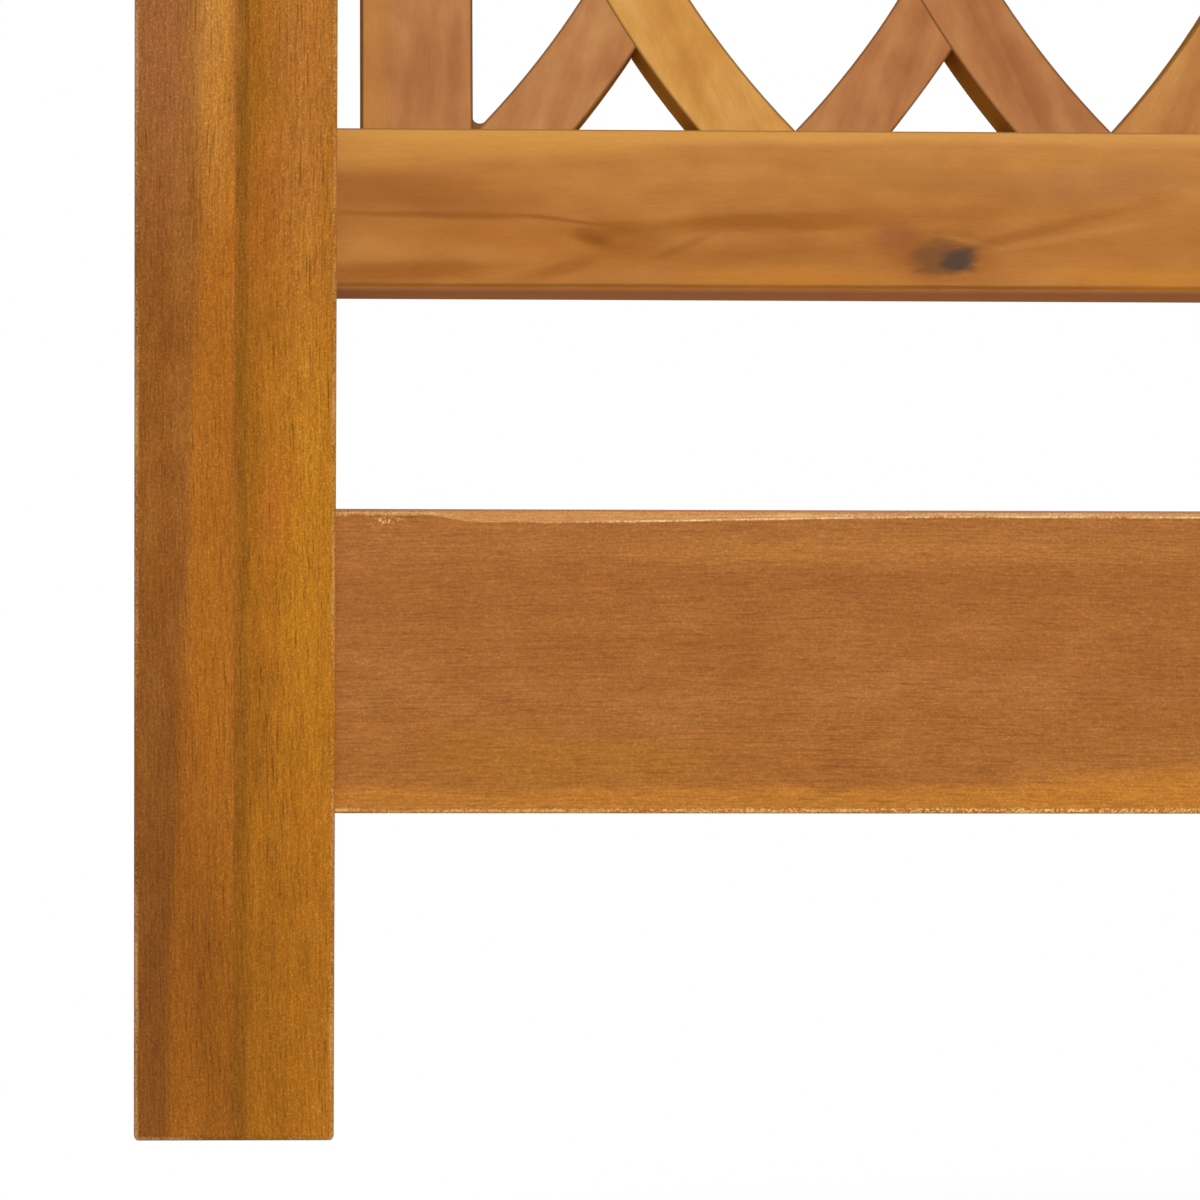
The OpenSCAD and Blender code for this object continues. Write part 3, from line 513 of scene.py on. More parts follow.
class Timber(Surface):
    """Material of one board, written from its finish.

    Its triples give features per metre along, across and through the board.
    """

    bands = (1.6, 22.0, 22.0)
    rings = (2.5, 110.0, 110.0)
    cloud = (55.0, 95.0, 95.0)
    threads = (70.0, 1500.0, 1500.0)
    fibre = (330.0, 1600.0, 1600.0)
    specks_and_glints = (1450.0, 1550.0, 1550.0)
    pores = (80.0, 1700.0, 1700.0)
    pore_zones = (9.0, 60.0, 60.0)
    silk = (22.0, 16.0, 16.0)
    drift = (3.5, 11.0, 11.0)
    waves = (14.0, 70.0, 70.0)
    ovals = (25.0, 130.0, 130.0)
    knot_rim = (90.0, 260.0, 260.0)
    dents = (60.0, 60.0, 60.0)
    breaks = (16.0, 30.0, 30.0)
    chips = (30.0, 30.0, 30.0)
    end_rings = (0.0, 90.0, 420.0)
    end_dots = (0.0, 2200.0, 2200.0)
    pore_colour = "#52300F"
    end_colour = "#4E2C12"
    board_shift = 3.7
    fine_gains = (0.9, 1.0, 1.1)

    def __init__(self, board: Board, finish: WoodFinish) -> None:
        """Starts the board's material.

        Args:
            board: the board it is for.
            finish: how its wood looks.
        """
        super().__init__(f"wood_{board.name}")
        self.board = board
        self.finish = finish
        self.middle = board.local(self)
        self.along, self.across, self.through = self.parts(self.middle)
        self.grain = self.flow()
        self.speck = self.layer(self.middle, self.specks_and_glints, 47, 1.0)

    def layer(self, place: Socket, stretch: Triple, shift: float, *rest: float) -> Socket:
        """Noise of this board's own seed, with the arguments of noise."""
        return self.noise(place, stretch, self.finish.seed + shift, *rest)

    def lay(self, share: Value, colour: object) -> None:
        """Lays an sRGB code or a colour's socket over the wood's colour so far."""
        second = linear(colour) if isinstance(colour, str) else colour
        self.colour = self.mix(share, self.colour, second)

    def flow(self) -> Socket:
        """Position whose lines of equal distance across follow the grain.

        Returns:
            The position's socket.
        """
        finish = self.finish
        sway = self.layer(self.middle, self.drift, 31, 1.0)
        across = self.scaled(sway, finish.sway, self.across)
        across = self.scaled(self.along, finish.lean, across)
        for knot in finish.knots:
            across = self.bend(across, knot)
        along = self.along
        if finish.second:
            right = self.math("GREATER_THAN", self.across, finish.joint)
            along = self.scaled(right, self.board_shift, along)
        return self.triple(along, across, self.through)

    def bend(self, across: Socket, knot: Knot) -> Socket:
        """Bends the grain round a knot.

        Args:
            across: distance across the board.
            knot: the knot.

        Returns:
            The distance that the grain's pattern is read at.
        """
        off = self.minus(across, knot.across)
        reach = self.oval(knot.along, knot.across, knot.size * 4.2, knot.size * 1.9)
        pull = self.math("POWER", self.smooth(reach, 1.0, 0.0), 1.5)
        slack = self.scaled(pull, 2.6, 1.0)
        return self.math("ADD", self.math("DIVIDE", off, slack), knot.across)

    def oval(
        self, along: float, across: float, length: float, width: float, turn: float = 0
    ) -> Socket:
        """Distance from a point, 1 on an oval round it.

        Args:
            along: the oval's place along the board.
            across: its place across the board.
            length: its half length.
            width: its half width.
            turn: its turn in degrees.

        Returns:
            The distance's socket.
        """
        du, dv = self.minus(self.along, along), self.minus(self.across, across)
        c, s = math.cos(math.radians(turn)), math.sin(math.radians(turn))
        first = self.math("DIVIDE", self.scaled(dv, s, self.times(du, c)), length)
        second = self.math("DIVIDE", self.scaled(dv, c, self.times(du, -s)), width)
        return self.vector("LENGTH", self.triple(first, second, 0.0))

    def layers(self, total: Value, *layers: tuple) -> Socket:
        """Sum of noises.

        Args:
            total: what they are added to.
            layers: for each, its position, features per metre, strength, shift and octaves.

        Returns:
            The sum's socket.
        """
        for place, stretch, strength, shift, detail in layers:
            total = self.scaled(self.layer(place, stretch, shift, detail), strength, total)
        return total

    def thread(self) -> None:
        """Adds the finest threads, fibres and specks, and lightens the brightest specks as
        painted glints of light.
        """
        finish = self.finish
        # Painted highlight: the brightest specks are lightened into glints of light.
        painted_glint = self.times(self.smooth(self.speck, 0.3, 1.0), 1.2)
        fine = self.layers(
            self.times(self.math("ADD", self.speck, painted_glint), finish.specks_and_glints),
            (self.grain, self.threads, finish.fibre, 23.0, 1.0),
            (self.grain, self.fibre, finish.fibre, 29.0, 1.0),
        )
        factors = [self.scaled(fine, gain, 1.0) for gain in self.fine_gains]
        self.colour = self.vector("MULTIPLY", self.colour, self.triple(*factors))

    def ramp(self, level: Socket, tone: Tone) -> Socket:
        """Colour of a level in one tone.

        Args:
            level: from 0, dark, to 1, light.
            tone: the three colours.

        Returns:
            The colour's socket.
        """
        made = self.node("ShaderNodeValToRGB", level)
        stops = made.color_ramp.elements
        stops[0].position, stops[0].color = 0.08, linear(tone.dark)
        stops[1].position, stops[1].color = 0.92, linear(tone.light)
        stops.new(0.5).color = linear(tone.middle)
        return made.outputs[0]

    def stripe(self, stripe: Stripe, shift: float) -> None:
        """Lays one stripe over the colour.

        Args:
            stripe: the stripe.
            shift: picks the stripe's own wobble.
        """
        wave = self.layer(self.middle, self.waves, shift)
        across = self.scaled(wave, stripe.wobble, self.across)
        sides = []
        for (start, slope), sign in ((stripe.low, 1.0), (stripe.high, -1.0)):
            off = self.minus(across, self.scaled(self.along, slope, start))
            sides.append(self.smooth(self.times(off, sign), -stripe.soft, stripe.soft))
        thread = self.layer(self.grain, self.rings, shift + 5)
        share = self.times(self.times(*sides), self.scaled(thread, 0.2, 0.8))
        self.lay(self.times(share, stripe.strength), stripe.colour)

    def patch(self, patch: Patch, shift: float) -> None:
        """Lays one soft oval over the colour.

        Args:
            patch: the oval.
            shift: picks the oval's own edge.
        """
        far = self.oval(patch.along, patch.across, patch.length, patch.width, patch.turn)
        edge = self.layer(self.grain, self.ovals, shift)
        far = self.scaled(edge, patch.rag * 0.4, far)
        share = self.times(self.smooth(far, 1.25, 0.2), patch.strength)
        if patch.flecked:
            share = self.times(share, self.smooth(self.speck, -0.1, 0.5))
        self.lay(share, patch.colour)

    def knot(self, knot: Knot) -> None:
        """Paints a knot's rim, its grey-brown heart and its darker core.

        Args:
            knot: the knot.
        """
        u, v, size = knot.along, knot.across, knot.size
        ragged = self.layer(self.middle, self.knot_rim, 61, 4.0)
        far = self.scaled(ragged, 0.3, self.oval(u, v, size, size * 0.52))
        self.lay(self.times(self.smooth(far, 2.4, 0.9), 0.35), knot.rim)
        self.lay(self.times(self.smooth(far, 1.35, 0.7), 0.6), knot.heart)
        core = self.oval(u + size * 0.4, v - size * 0.06, size * 0.6, size * 0.4)
        core = self.scaled(ragged, 0.35, core)
        self.lay(self.times(self.smooth(core, 1.3, 0.4), 0.8), knot.core)

    def edge_distance(self) -> Socket:
        """Distance from the nearest arris, in metres.

        Returns:
            The distance's socket.
        """
        gaps = [
            self.minus(float(half), self.absolute(part))
            for half, part in zip(self.board.half, (self.along, self.across, self.through))
        ]
        if self.finish.arris is Arris.CURVED:
            curve, (u, v) = self.board.curve, self.board.arc()
            flat = self.triple(self.minus(self.along, u), self.minus(self.across, v), 0.0)
            off = self.minus(self.vector("LENGTH", flat), curve.radius)
            side = self.minus(curve.half_width, self.absolute(off))
            return self.math("MAXIMUM", side, gaps[2])
        low = self.math("MINIMUM", gaps[0], gaps[1])
        high = self.math("MAXIMUM", gaps[0], gaps[1])
        return self.math("MAXIMUM", low, self.math("MINIMUM", high, gaps[2]))

    def ridge(self, far: Socket, outer: tuple, inner: tuple) -> Socket:
        """Product of two smooth steps of one distance."""
        return self.times(self.smooth(far, *outer), self.smooth(far, *inner))

    def edge_line(self) -> None:
        """Draws a dark outline of painted shade along the arrises, or a broken light line."""
        finish, far = self.finish, self.edge_distance()
        if finish.painted_edge_shade:
            # Painted shade: a dark outline where the rounded arrises turn away from the
            # light.
            line = self.ridge(far, (0.0013, 0.0003), (-0.0010, -0.0004))
        else:
            uneven = self.layer(self.middle, self.dents, 71)
            far = self.scaled(uneven, 0.0003, far)
            line = self.ridge(far, (0.0002, 0.0006), (0.0017, 0.0008))
            broken = self.layer(self.middle, self.breaks, 79, 4.0, 0.7)
            flecks = self.scaled(self.speck, 0.5, broken)
            line = self.times(line, self.smooth(flecks, -0.5, 0.9))
        self.lay(self.times(line, finish.edge_line), finish.edge)

    def bevel(self, chamfer: Chamfer) -> None:
        """Lightens a chamfer, as sanded colour and painted light, and lines its lower edge.

        Args:
            chamfer: the chamfer.
        """
        away = self.absolute(self.along)
        narrowing = self.smooth(away, chamfer.narrow, chamfer.full)
        width = self.scaled(narrowing, chamfer.wide - chamfer.slim, chamfer.slim)
        width = self.times(width, self.smooth(away, chamfer.end, chamfer.full))
        drop = self.minus(self.minus(float(self.board.half[1]), self.across), width)
        # Partly painted light: the chamfer is lightened where it faces up and forward; partly
        # its sanded colour.
        facing = self.facing(self.board.turn.col[1] + self.board.turn.col[2])
        self.lay(self.times(self.smooth(facing, 0.93, 0.985), 0.85), chamfer.colour)
        broken = self.layer(self.middle, self.chips, 91, 4.0, 0.7)
        flecks = self.scaled(self.speck, 0.4, broken)
        near = self.smooth(self.absolute(drop), 0.00042, 0.0001)
        near = self.times(near, self.smooth(away, chamfer.full, chamfer.full - 0.03))
        self.lay(self.times(near, self.smooth(flecks, -0.7, 0.5)), chamfer.line)

    def facing(self, direction: Vector) -> Socket:
        """Cosine of the angle between the surface and a direction in the row frame."""
        normal = self.node("ShaderNodeTexCoord").outputs["Normal"]
        return self.vector("DOT_PRODUCT", normal, direction.normalized())

    def end_grain(self) -> None:
        """Darkens sawn ends and shows their close rings."""
        end = self.smooth(self.absolute(self.facing(self.board.turn.col[0])), 0.8, 0.97)
        rings = self.layer(self.middle, self.end_rings, 83)
        dots = self.layer(self.middle, self.end_dots, 89)
        level = self.scaled(dots, 0.15, self.scaled(rings, 0.3, 0.5))
        tone = self.finish.tone
        self.lay(end, self.ramp(level, Tone(self.end_colour, tone.dark, tone.middle)))

    def write(self) -> bpy.types.Material:
        """Puts tone, stripes, patches, knots, pores, painted shading and glints, edge lines
        and end grain together.

        Returns:
            The material.
        """
        finish = self.finish
        level = self.layers(
            0.5,
            (self.grain, self.bands, finish.bands, 0.0, 2.0),
            (self.grain, self.rings, finish.rings, 11.0, 2.0),
            (self.middle, self.cloud, finish.cloud, 37.0, 2.0),
            (self.middle, self.silk, finish.bands * 0.35, 43.0, 1.0),
        )
        self.colour = self.ramp(level, finish.tone)
        if finish.second:
            right = self.math("GREATER_THAN", self.across, finish.joint)
            self.lay(right, self.ramp(level, finish.second))
            off = self.absolute(self.minus(self.across, finish.joint))
            self.lay(self.times(self.smooth(off, 0.0005, 0.0001), 0.35), finish.tone.dark)
        for index, stripe in enumerate(finish.stripes):
            self.stripe(stripe, 101.0 + 7 * index)
        for index, patch in enumerate(finish.patches):
            self.patch(patch, 151.0 + 7 * index)
        for knot in finish.knots:
            self.knot(knot)
        zones = self.layer(self.grain, self.pore_zones, 59)
        fine = self.layer(self.grain, self.pores, 53, 1.0)
        dark = self.smooth(self.scaled(zones, 0.3, fine), 0.55, 1.05)
        self.lay(self.times(dark, finish.pores), self.pore_colour)
        # Painted shading: faces that look across the board get their own tone, darker on the
        # slats' sides.
        if finish.painted_flank_shading:
            facing = self.absolute(self.facing(self.board.turn.col[1]))
            self.lay(self.times(self.smooth(facing, 0.5, 0.8), 0.8), finish.painted_flank_shading)
        if finish.chamfer:
            self.bevel(finish.chamfer)
        self.thread()
        if finish.arris is not Arris.NONE:
            self.edge_line()
        self.end_grain()
        self.give("Base Color", self.colour)
        self.give("Roughness", self.scaled(dark, 0.15, self.scaled(level, -0.10, 0.56)))
        self.give("Specular IOR Level", finish.gloss)
        self.bump(self.scaled(dark, -0.6, self.times(level, 0.3)), 0.00012, 0.6)
        return self.material


WALNUT = Tone("#683810", "#8E541C", "#AC6E2C")
RUSSET = Tone("#7E4514", "#A4642A", "#C0823E")
HONEY = Tone("#86500F", "#AC6A1A", "#CB8F3A")
AMBER = Tone("#A66424", "#C8863C", "#E2A858")
CARAMEL = Tone("#98592A", "#BA7C40", "#D29852")
CHESTNUT = Tone("#965A2C", "#BC8048", "#D29856")
FLAX = Tone("#B07434", "#D4984C", "#E8B66A")
ROSE = Tone("#965A34", "#BA7E4E", "#D09A62")
ZINC = MetalFinish("#C6C9CC", "#9A9EA2", 0.32)
STAINLESS = MetalFinish("#B9B6B0", "#8E8B86", 0.3, 400.0, 8.0)
NYLON = PlasticFinish("#DAD9D1", "#CBCAC1")
FRONT_POST = WoodFinish(
    Tone("#6E3E0C", "#92561A", "#AE7630"),
    4.0,
    second=Tone("#8A520A", "#B06C16", "#CA9036"),
    joint=0.0001,
    bands=0.11,
    rings=0.09,
    cloud=0.1,
    fibre=0.17,
    specks_and_glints=0.2,
    pores=0.5,
    lean=0.012,
    edge_line=0.75,
    stripes=(
        Stripe((-0.0125, 0.0414), (-0.0001, 0.0), "#BC7018", 0.78, 0.0024, 0.002),
        Stripe((0.0001, 0.0), (0.0036, 0.0), "#74480A", 0.75, 0.0007, 0.0007),
        Stripe((0.003, 0.0), (0.0072, 0.006), "#905808", 0.55, 0.0018, 0.0018),
    ),
    patches=(
        # The large dark patches low on the post are painted shade and the light ones high on
        # it painted light: the post grows darker towards its foot.
        Patch(-0.15, -0.021, 0.12, 0.018, "#6A3A0E", 0.45),
        Patch(-0.02, -0.006, 0.09, 0.007, "#A4600E", 0.45),
        Patch(-0.17, -0.004, 0.07, 0.01, "#804A0A", 0.6),
        Patch(0.15, -0.022, 0.09, 0.016, "#A6683A", 0.55),
        Patch(0.15, -0.006, 0.09, 0.008, "#D4923E", 0.55),
        Patch(0.12, 0.02, 0.1, 0.012, "#B87434", 0.45),
        Patch(-0.02, 0.022, 0.09, 0.012, "#C2801A", 0.5),
        Patch(-0.16, 0.014, 0.05, 0.018, "#9C6010", 0.45),
        Patch(0.07, 0.008, 0.03, 0.006, "#A85E1C", 0.5, 4),
        Patch(-0.015, 0.012, 0.02, 0.006, "#B4661C", 0.5, 12),
    ),
)
APRON = WoodFinish(
    Tone("#84491A", "#A8672E", "#CB8F50"),
    33.0,
    bands=0.05,
    rings=0.035,
    cloud=0.05,
    fibre=0.13,
    specks_and_glints=0.14,
    pores=0.22,
    sway=0.003,
    edge_line=1.0,
    edge="#E8BE7C",
    # The chamfer's lighter colour is partly sanded wood and partly painted light on its
    # upward slope.
    chamfer=Chamfer(0.5125, 0.4845, 0.3345, 0.0032, 0.0012, "#CC8F52", "#EFC88E"),
    stripes=(
        Stripe((-0.04, 0.0), (-0.014, 0.0), "#A2621E", 0.35, 0.01, 0.003),
        Stripe((-0.06, 0.0), (-0.0367, 0.001), "#C27C2C", 0.9, 0.002, 0.0022),
        Stripe((0.03, 0.0), (0.06, 0.0), "#B4743A", 0.35, 0.006, 0.003),
    ),
    patches=(
        Patch(-0.515, 0.0425, 0.006, 0.0012, "#E8B870", 0.9, 4, 1.0, True),
        Patch(-0.262, -0.0345, 0.09, 0.006, "#C27C2C", 0.85, 4),
        Patch(-0.3, -0.0443, 0.23, 0.0009, "#EFC884", 0.85, 0, 0.9, True),
        Patch(-0.43, 0.0, 0.08, 0.012, "#9A5A20", 0.3, 0, 0.9),
        Patch(-0.37, 0.034, 0.1, 0.006, "#BE7C36", 0.4, 0, 0.8),
        Patch(-0.46, -0.03, 0.06, 0.01, "#B27424", 0.45, 0, 0.9),
        Patch(-0.27, -0.008, 0.04, 0.016, "#9C5A26", 0.35),
        Patch(-0.18, 0.014, 0.09, 0.014, "#A0623A", 0.35, -4),
    ),
)
SLAT = WoodFinish(
    ROSE,
    83.0,
    bands=0.22,
    cloud=0.14,
    fibre=0.03,
    specks_and_glints=0.02,
    pores=0.05,
    # The edge colour here is painted shade: a dark outline along the rounded edges of the
    # slats, and of the stiles.
    edge_line=0.65,
    edge="#5E4020",
    painted_edge_shade=True,
    gloss=0.0,
    # Painted shade: the slats' side faces are darkened.
    painted_flank_shading="#A06A18",
    arris=Arris.CURVED,
)
BACK = replace(SLAT, bands=0.12, rings=0.06, painted_flank_shading=None, arris=Arris.STRAIGHT)
LOWER_RAIL = replace(
    BACK,
    tone=Tone("#985C26", "#BF8041", "#DDA358"),
    seed=67.0,
    cloud=0.07,
    pores=0.0,
    sway=0.006,
    # Painted shade: a dark outline in the edge colour along the rail's edges.
    edge_line=0.6,
    edge="#6E4E22",
    # Painted shading: the rail's top and underside faces get their own paler tone.
    painted_flank_shading="#C4936A",
    knots=(Knot(-0.268, -0.0196, 0.013),),
    stripes=(
        # Painted highlight: the bright band along the rail's rounded top edge, wider towards
        # the left end.
        Stripe((0.0288, 0.0), (0.05, 0.0), "#E6AE60", 0.75, 0.003, 0.002),
        Stripe((0.05, 0.06), (0.05, 0.0), "#DDA04E", 0.85, 0.005, 0.003),
        # Painted shade: a thin dark line just above the rail's rounded lower edge, where it
        # turns under.
        Stripe((-0.0322, 0.0), (-0.0307, 0.0), "#7A521C", 0.75, 0.0005, 0.0002),
    ),
    patches=(
        Patch(-0.49, 0.007, 0.06, 0.01, "#A2622E", 0.6, -4),
        Patch(-0.44, -0.0125, 0.065, 0.009, "#B87230", 0.45, -5),
        Patch(-0.48, -0.0022, 0.058, 0.002, "#8A4E1E", 0.45, -1),
        Patch(-0.42, -0.0048, 0.028, 0.0013, "#8E5220", 0.5, -7, 0.9),
        Patch(-0.49, -0.026, 0.05, 0.006, "#94561E", 0.55, 4),
        Patch(-0.402, -0.011, 0.024, 0.01, "#96581E", 0.5, -14, 0.9),
        Patch(-0.412, -0.0125, 0.011, 0.0045, "#7A4614", 0.6, -10, 1.0),
        Patch(-0.425, -0.024, 0.02, 0.0035, "#94581F", 0.45, 16),
        Patch(-0.376, -0.015, 0.018, 0.0022, "#96592A", 0.4, 24, 0.9),
        Patch(-0.31, -0.003, 0.08, 0.0045, "#A2642C", 0.45, 2, 0.9),
        Patch(-0.355, -0.005, 0.06, 0.005, "#96581E", 0.5, 2, 0.9),
        Patch(-0.35, -0.018, 0.07, 0.006, "#9C5E26", 0.4, 2, 0.9),
        Patch(-0.288, -0.011, 0.012, 0.008, "#98583A", 0.5, 8),
        Patch(-0.262, -0.0115, 0.016, 0.0016, "#CE9658", 0.6, -10, 1.0),
        Patch(-0.215, -0.01, 0.04, 0.0022, "#CE9254", 0.4, 10),
        Patch(-0.33, -0.027, 0.05, 0.005, "#CC8A38", 0.65),
        Patch(-0.18, -0.027, 0.05, 0.006, "#D08E3A", 0.65),
        Patch(-0.27, 0.012, 0.07, 0.008, "#A86C38", 0.35, -6),
        Patch(-0.23, -0.008, 0.05, 0.003, "#9A5E2C", 0.4, 14),
        Patch(-0.205, 0.012, 0.05, 0.01, "#B27A4C", 0.4, 4),
    ),
)
STILE = replace(
    BACK,
    tone=Tone("#A46840", "#C48854", "#DCA464"),
    seed=73.0,
    # Strength of the painted shade outline along the stile's edges.
    edge_line=0.85,
    stripes=(
        Stripe((-0.05, 0.0), (-0.0125, 0.01), "#C88A40", 0.5, 0.003, 0.005),
    ),
    patches=(
        Patch(-0.104, 0.002, 0.03, 0.01, "#A8683E", 0.45, 0, 0.9),
        Patch(-0.125, -0.006, 0.02, 0.003, "#A0602E", 0.4, 5, 0.9),
        Patch(-0.09, 0.016, 0.03, 0.004, "#A2623C", 0.4, 2, 0.9),
    ),
)


def leaning(degrees: float) -> Vector:
    """Direction that goes up and leans back by an angle."""
    angle = math.radians(degrees)
    return Vector((0, math.sin(angle), math.cos(angle)))


@dataclass
class EndFrames:
    """The four posts and the two side rails between them."""

    recline: float = 9.0

    def build(self) -> None:
        """Dresses the posts and side rails."""
        Board("front_post_left", Z_AXIS, X_AXIS).dress(FRONT_POST)
        Board("front_post_right", Z_AXIS, X_AXIS).dress(
            WoodFinish(HONEY, 14.0, second=RUSSET, joint=-0.004, edge_line=0.6)
        )
        lean = leaning(self.recline)
        ends = (("left", RUSSET, HONEY, 21.0), ("right", WALNUT, RUSSET, 27.0))
        for side, tone, rail, seed in ends:
            Board(f"rear_post_{side}", lean, X_AXIS).dress(
                WoodFinish(tone, seed, arris=Arris.NONE)
            )
            Board(f"side_rail_{side}", Y_AXIS, Z_AXIS).dress(WoodFinish(rail, seed + 2))


@dataclass
class SeatFrame:
    """The front apron, the rear rail and the dished bearers under the slats."""

    tones: tuple[Tone, ...] = (CARAMEL, RUSSET, HONEY, CHESTNUT)

    def build(self) -> None:
        """Dresses the rails and bearers."""
        Board("front_apron", X_AXIS, Z_AXIS).dress(APRON)
        Board("rear_rail", X_AXIS, Z_AXIS).dress(WoodFinish(CHESTNUT, 39.0, edge_line=0.5))
        for index, tone in enumerate(self.tones):
            Board(f"seat_bearer_{index + 1}", Y_AXIS, Z_AXIS).dress(
                WoodFinish(tone, 41.0 + 3 * index, arris=Arris.NONE)
            )


@dataclass
class Seat:
    """The dished row of seat slats."""

    tones: tuple[Tone, ...] = (CARAMEL, AMBER, RUSSET, HONEY, CHESTNUT, AMBER, CARAMEL)

    def top_normal(self, name: str) -> Vector:
        """Direction that a slat's top face looks in.

        Args:
            name: the slat's node.

        Returns:
            The normal of its largest upward face.
        """
        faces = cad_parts[name].data.polygons
        best = max((f for f in faces if f.normal.z > 0.5), key=lambda f: f.area)
        return Vector((0.0, best.normal.y, best.normal.z)).normalized()

    def build(self) -> None:
        """Dresses the slats."""
        for index, tone in enumerate(self.tones):
            name = f"seat_slat_{index + 1}"
            lean = 0.01 * (index % 3 - 1)
            Board(name, X_AXIS, self.top_normal(name).cross(X_AXIS)).dress(
                WoodFinish(tone, 53.0 + 5 * index, bands=0.32, lean=lean, edge_line=0.5)
            )


@dataclass
class SeatScrews:
    """Countersunk screws with cross recesses, where the frame's plain screws stand.

    Lengths are in metres. The floor, face and tip are shares of a radius, plain is a share
    of the length, and steps counts the rings in one pitch.
    """

    node: str = "seat_screws"
    head: float = 0.0040
    shank: float = 0.0020
    core: float = 0.0014
    pitch: float = 0.0018
    arm: float = 0.0024
    blade: float = 0.00055
    recess: float = 0.0017
    plain: float = 0.35
    point: float = 0.0035
    tip: float = 0.1
    crest: float = 1.7
    floor: float = 0.45
    face: float = 0.94
    rim: float = 0.0001
    steps: int = 5
    twist: float = 2.4
    grid: float = 0.00001

    def angles(self) -> list[float]:
        """Angles of the rings' points, with every corner of the cross among them.

        Returns:
            The angles in radians.
        """
        corner = math.degrees(math.atan2(self.blade, self.arm))
        quarter = (0.0, corner, 30.0, 45.0, 60.0, 90.0 - corner)
        return [math.radians(90 * turn + step) for turn in range(4) for step in quarter]

    def cross(self, angle: float) -> float:
        """Radius of the cross recess's outline at an angle."""
        low, high = sorted((abs(math.cos(angle)), abs(math.sin(angle))))
        return min(self.arm / high, self.blade / max(low, 1e-6))

    def thread(self, angle: float, depth: float, length: float) -> float:
        """Radius of the threaded length, which ends in a point.

        Args:
            angle: the angle round the screw.
            depth: the depth below the head's face.
            length: the screw's length.

        Returns:
            The radius.
        """
        share = (depth / self.pitch - angle / (2 * math.pi)) % 1.0
        ridge = max(0.0, 1.0 - self.crest * abs(2 * share - 1))
        radius = self.core + (self.shank - self.core) * ridge
        return radius * min(1.0, self.tip + (length - depth) / self.point)

    def rings(self, length: float) -> list[tuple[float, list[float]]]:
        """Depth and radii of each ring, from the recess round the head to the point.

        Args:
            length: the screw's length.

        Returns:
            The rings.
        """
        angles = self.angles()
        cross = [self.cross(angle) for angle in angles]
        neck = self.head - self.shank
        made = [(self.recess, [self.floor * r for r in cross]), (0.0, cross)]
        for depth, radius in (
            (0.0, self.face * self.head),
            (self.rim, self.head),
            (neck, self.shank),
            (self.plain * length, self.shank),
        ):
            made.append((depth, [radius] * len(angles)))
        count = int((1 - self.plain) * length / self.pitch * self.steps)
        for index in range(1, count + 1):
            depth = length * (self.plain + (1 - self.plain) * index / count)
            made.append((depth, [self.thread(angle, depth, length) for angle in angles]))
        return made

    def islands(self) -> list[np.ndarray]:
        """Points of each separate screw in the frame's node.

        Returns:
            One array of points for each.
        """
        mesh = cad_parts[self.node].data
        spots: dict[tuple[int, ...], int] = {}
        joined = []
        for vertex in mesh.vertices:
            spot = tuple(round(value / self.grid) for value in vertex.co)
            joined.append(spots.setdefault(spot, len(spots)))
        group = list(range(len(spots)))

        def root(index: int) -> int:
            """First point of a point's group.

            Args:
                index: the point.

            Returns:
                The first one's index.
            """
            while group[index] != index:
                group[index] = group[group[index]]
                index = group[index]
            return index

        for edge in mesh.edges:
            first, second = (root(joined[index]) for index in edge.vertices)
            group[max(first, second)] = min(first, second)
        found: dict[int, list[tuple[int, ...]]] = {}
        for spot, index in spots.items():
            found.setdefault(root(index), []).append(spot)
        return [np.array(points) * self.grid for points in found.values()]

    def stand(self, points: np.ndarray) -> tuple[Matrix, float]:
        """Where one screw stands and how long it is.

        Args:
            points: the points of the plain screw.

        Returns:
            The matrix from the head's face, with Z out of it, and the length.
        """
        middle = points.mean(0)
        axis = Vector(np.linalg.svd(points - middle)[2][0])
        axis = axis if axis.z > 0 else -axis
        side = axis.cross(Y_AXIS).normalized()
        turn = Matrix((side, axis.cross(side), axis)).transposed()
        local = points @ np.array(turn)
        low, high = local.min(0), local.max(0)
        top = Vector(((low[0] + high[0]) / 2, (low[1] + high[1]) / 2, high[2]))
        length = float(high[2] - low[2])
        return Matrix.Translation(turn @ top) @ turn.to_4x4(), length

    def build(self) -> None:
        """Makes all the screws as one piece and sets it in place of the plain ones."""
        points: list[Vector] = []
        faces: list[tuple[int, ...]] = []
        angles = self.angles()
        count = len(angles)
        for index, island in enumerate(self.islands()):
            place, length = self.stand(island)
            place = place @ Matrix.Rotation(self.twist * index, 4, "Z")
            rings = self.rings(length)
            first = len(points)
            spots = [(0.0, 0.0, -rings[0][0])]
            for depth, radii in rings:
                for a, radius in zip(angles, radii):
                    spots.append((radius * math.cos(a), radius * math.sin(a), -depth))
            spots.append((0.0, 0.0, -rings[-1][0]))
            points += [place @ Vector(spot) for spot in spots]
            last = len(points) - 1
            for step in range(count):
                after = (step + 1) % count
                faces.append((first, first + 1 + step, first + 1 + after))
                for ring in range(len(rings) - 1):
                    near, far = (first + 1 + count * k for k in (ring, ring + 1))
                    faces.append((near + step, far + step, far + after, near + after))
                tail = last - count
                faces.append((tail + step, last, tail + after))
        mesh = bpy.data.meshes.new("seat_screw_set")
        mesh.from_pydata(points, [], faces)
        mesh.materials.append(STAINLESS.material("stainless_screws"))
        piece = bpy.data.objects.new("seat_screw_set", mesh)
        bpy.context.scene.collection.objects.link(piece)
        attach(piece, "swing")
        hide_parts(self.node)
        LOG.info("seat_screw_set: %d points", len(points))


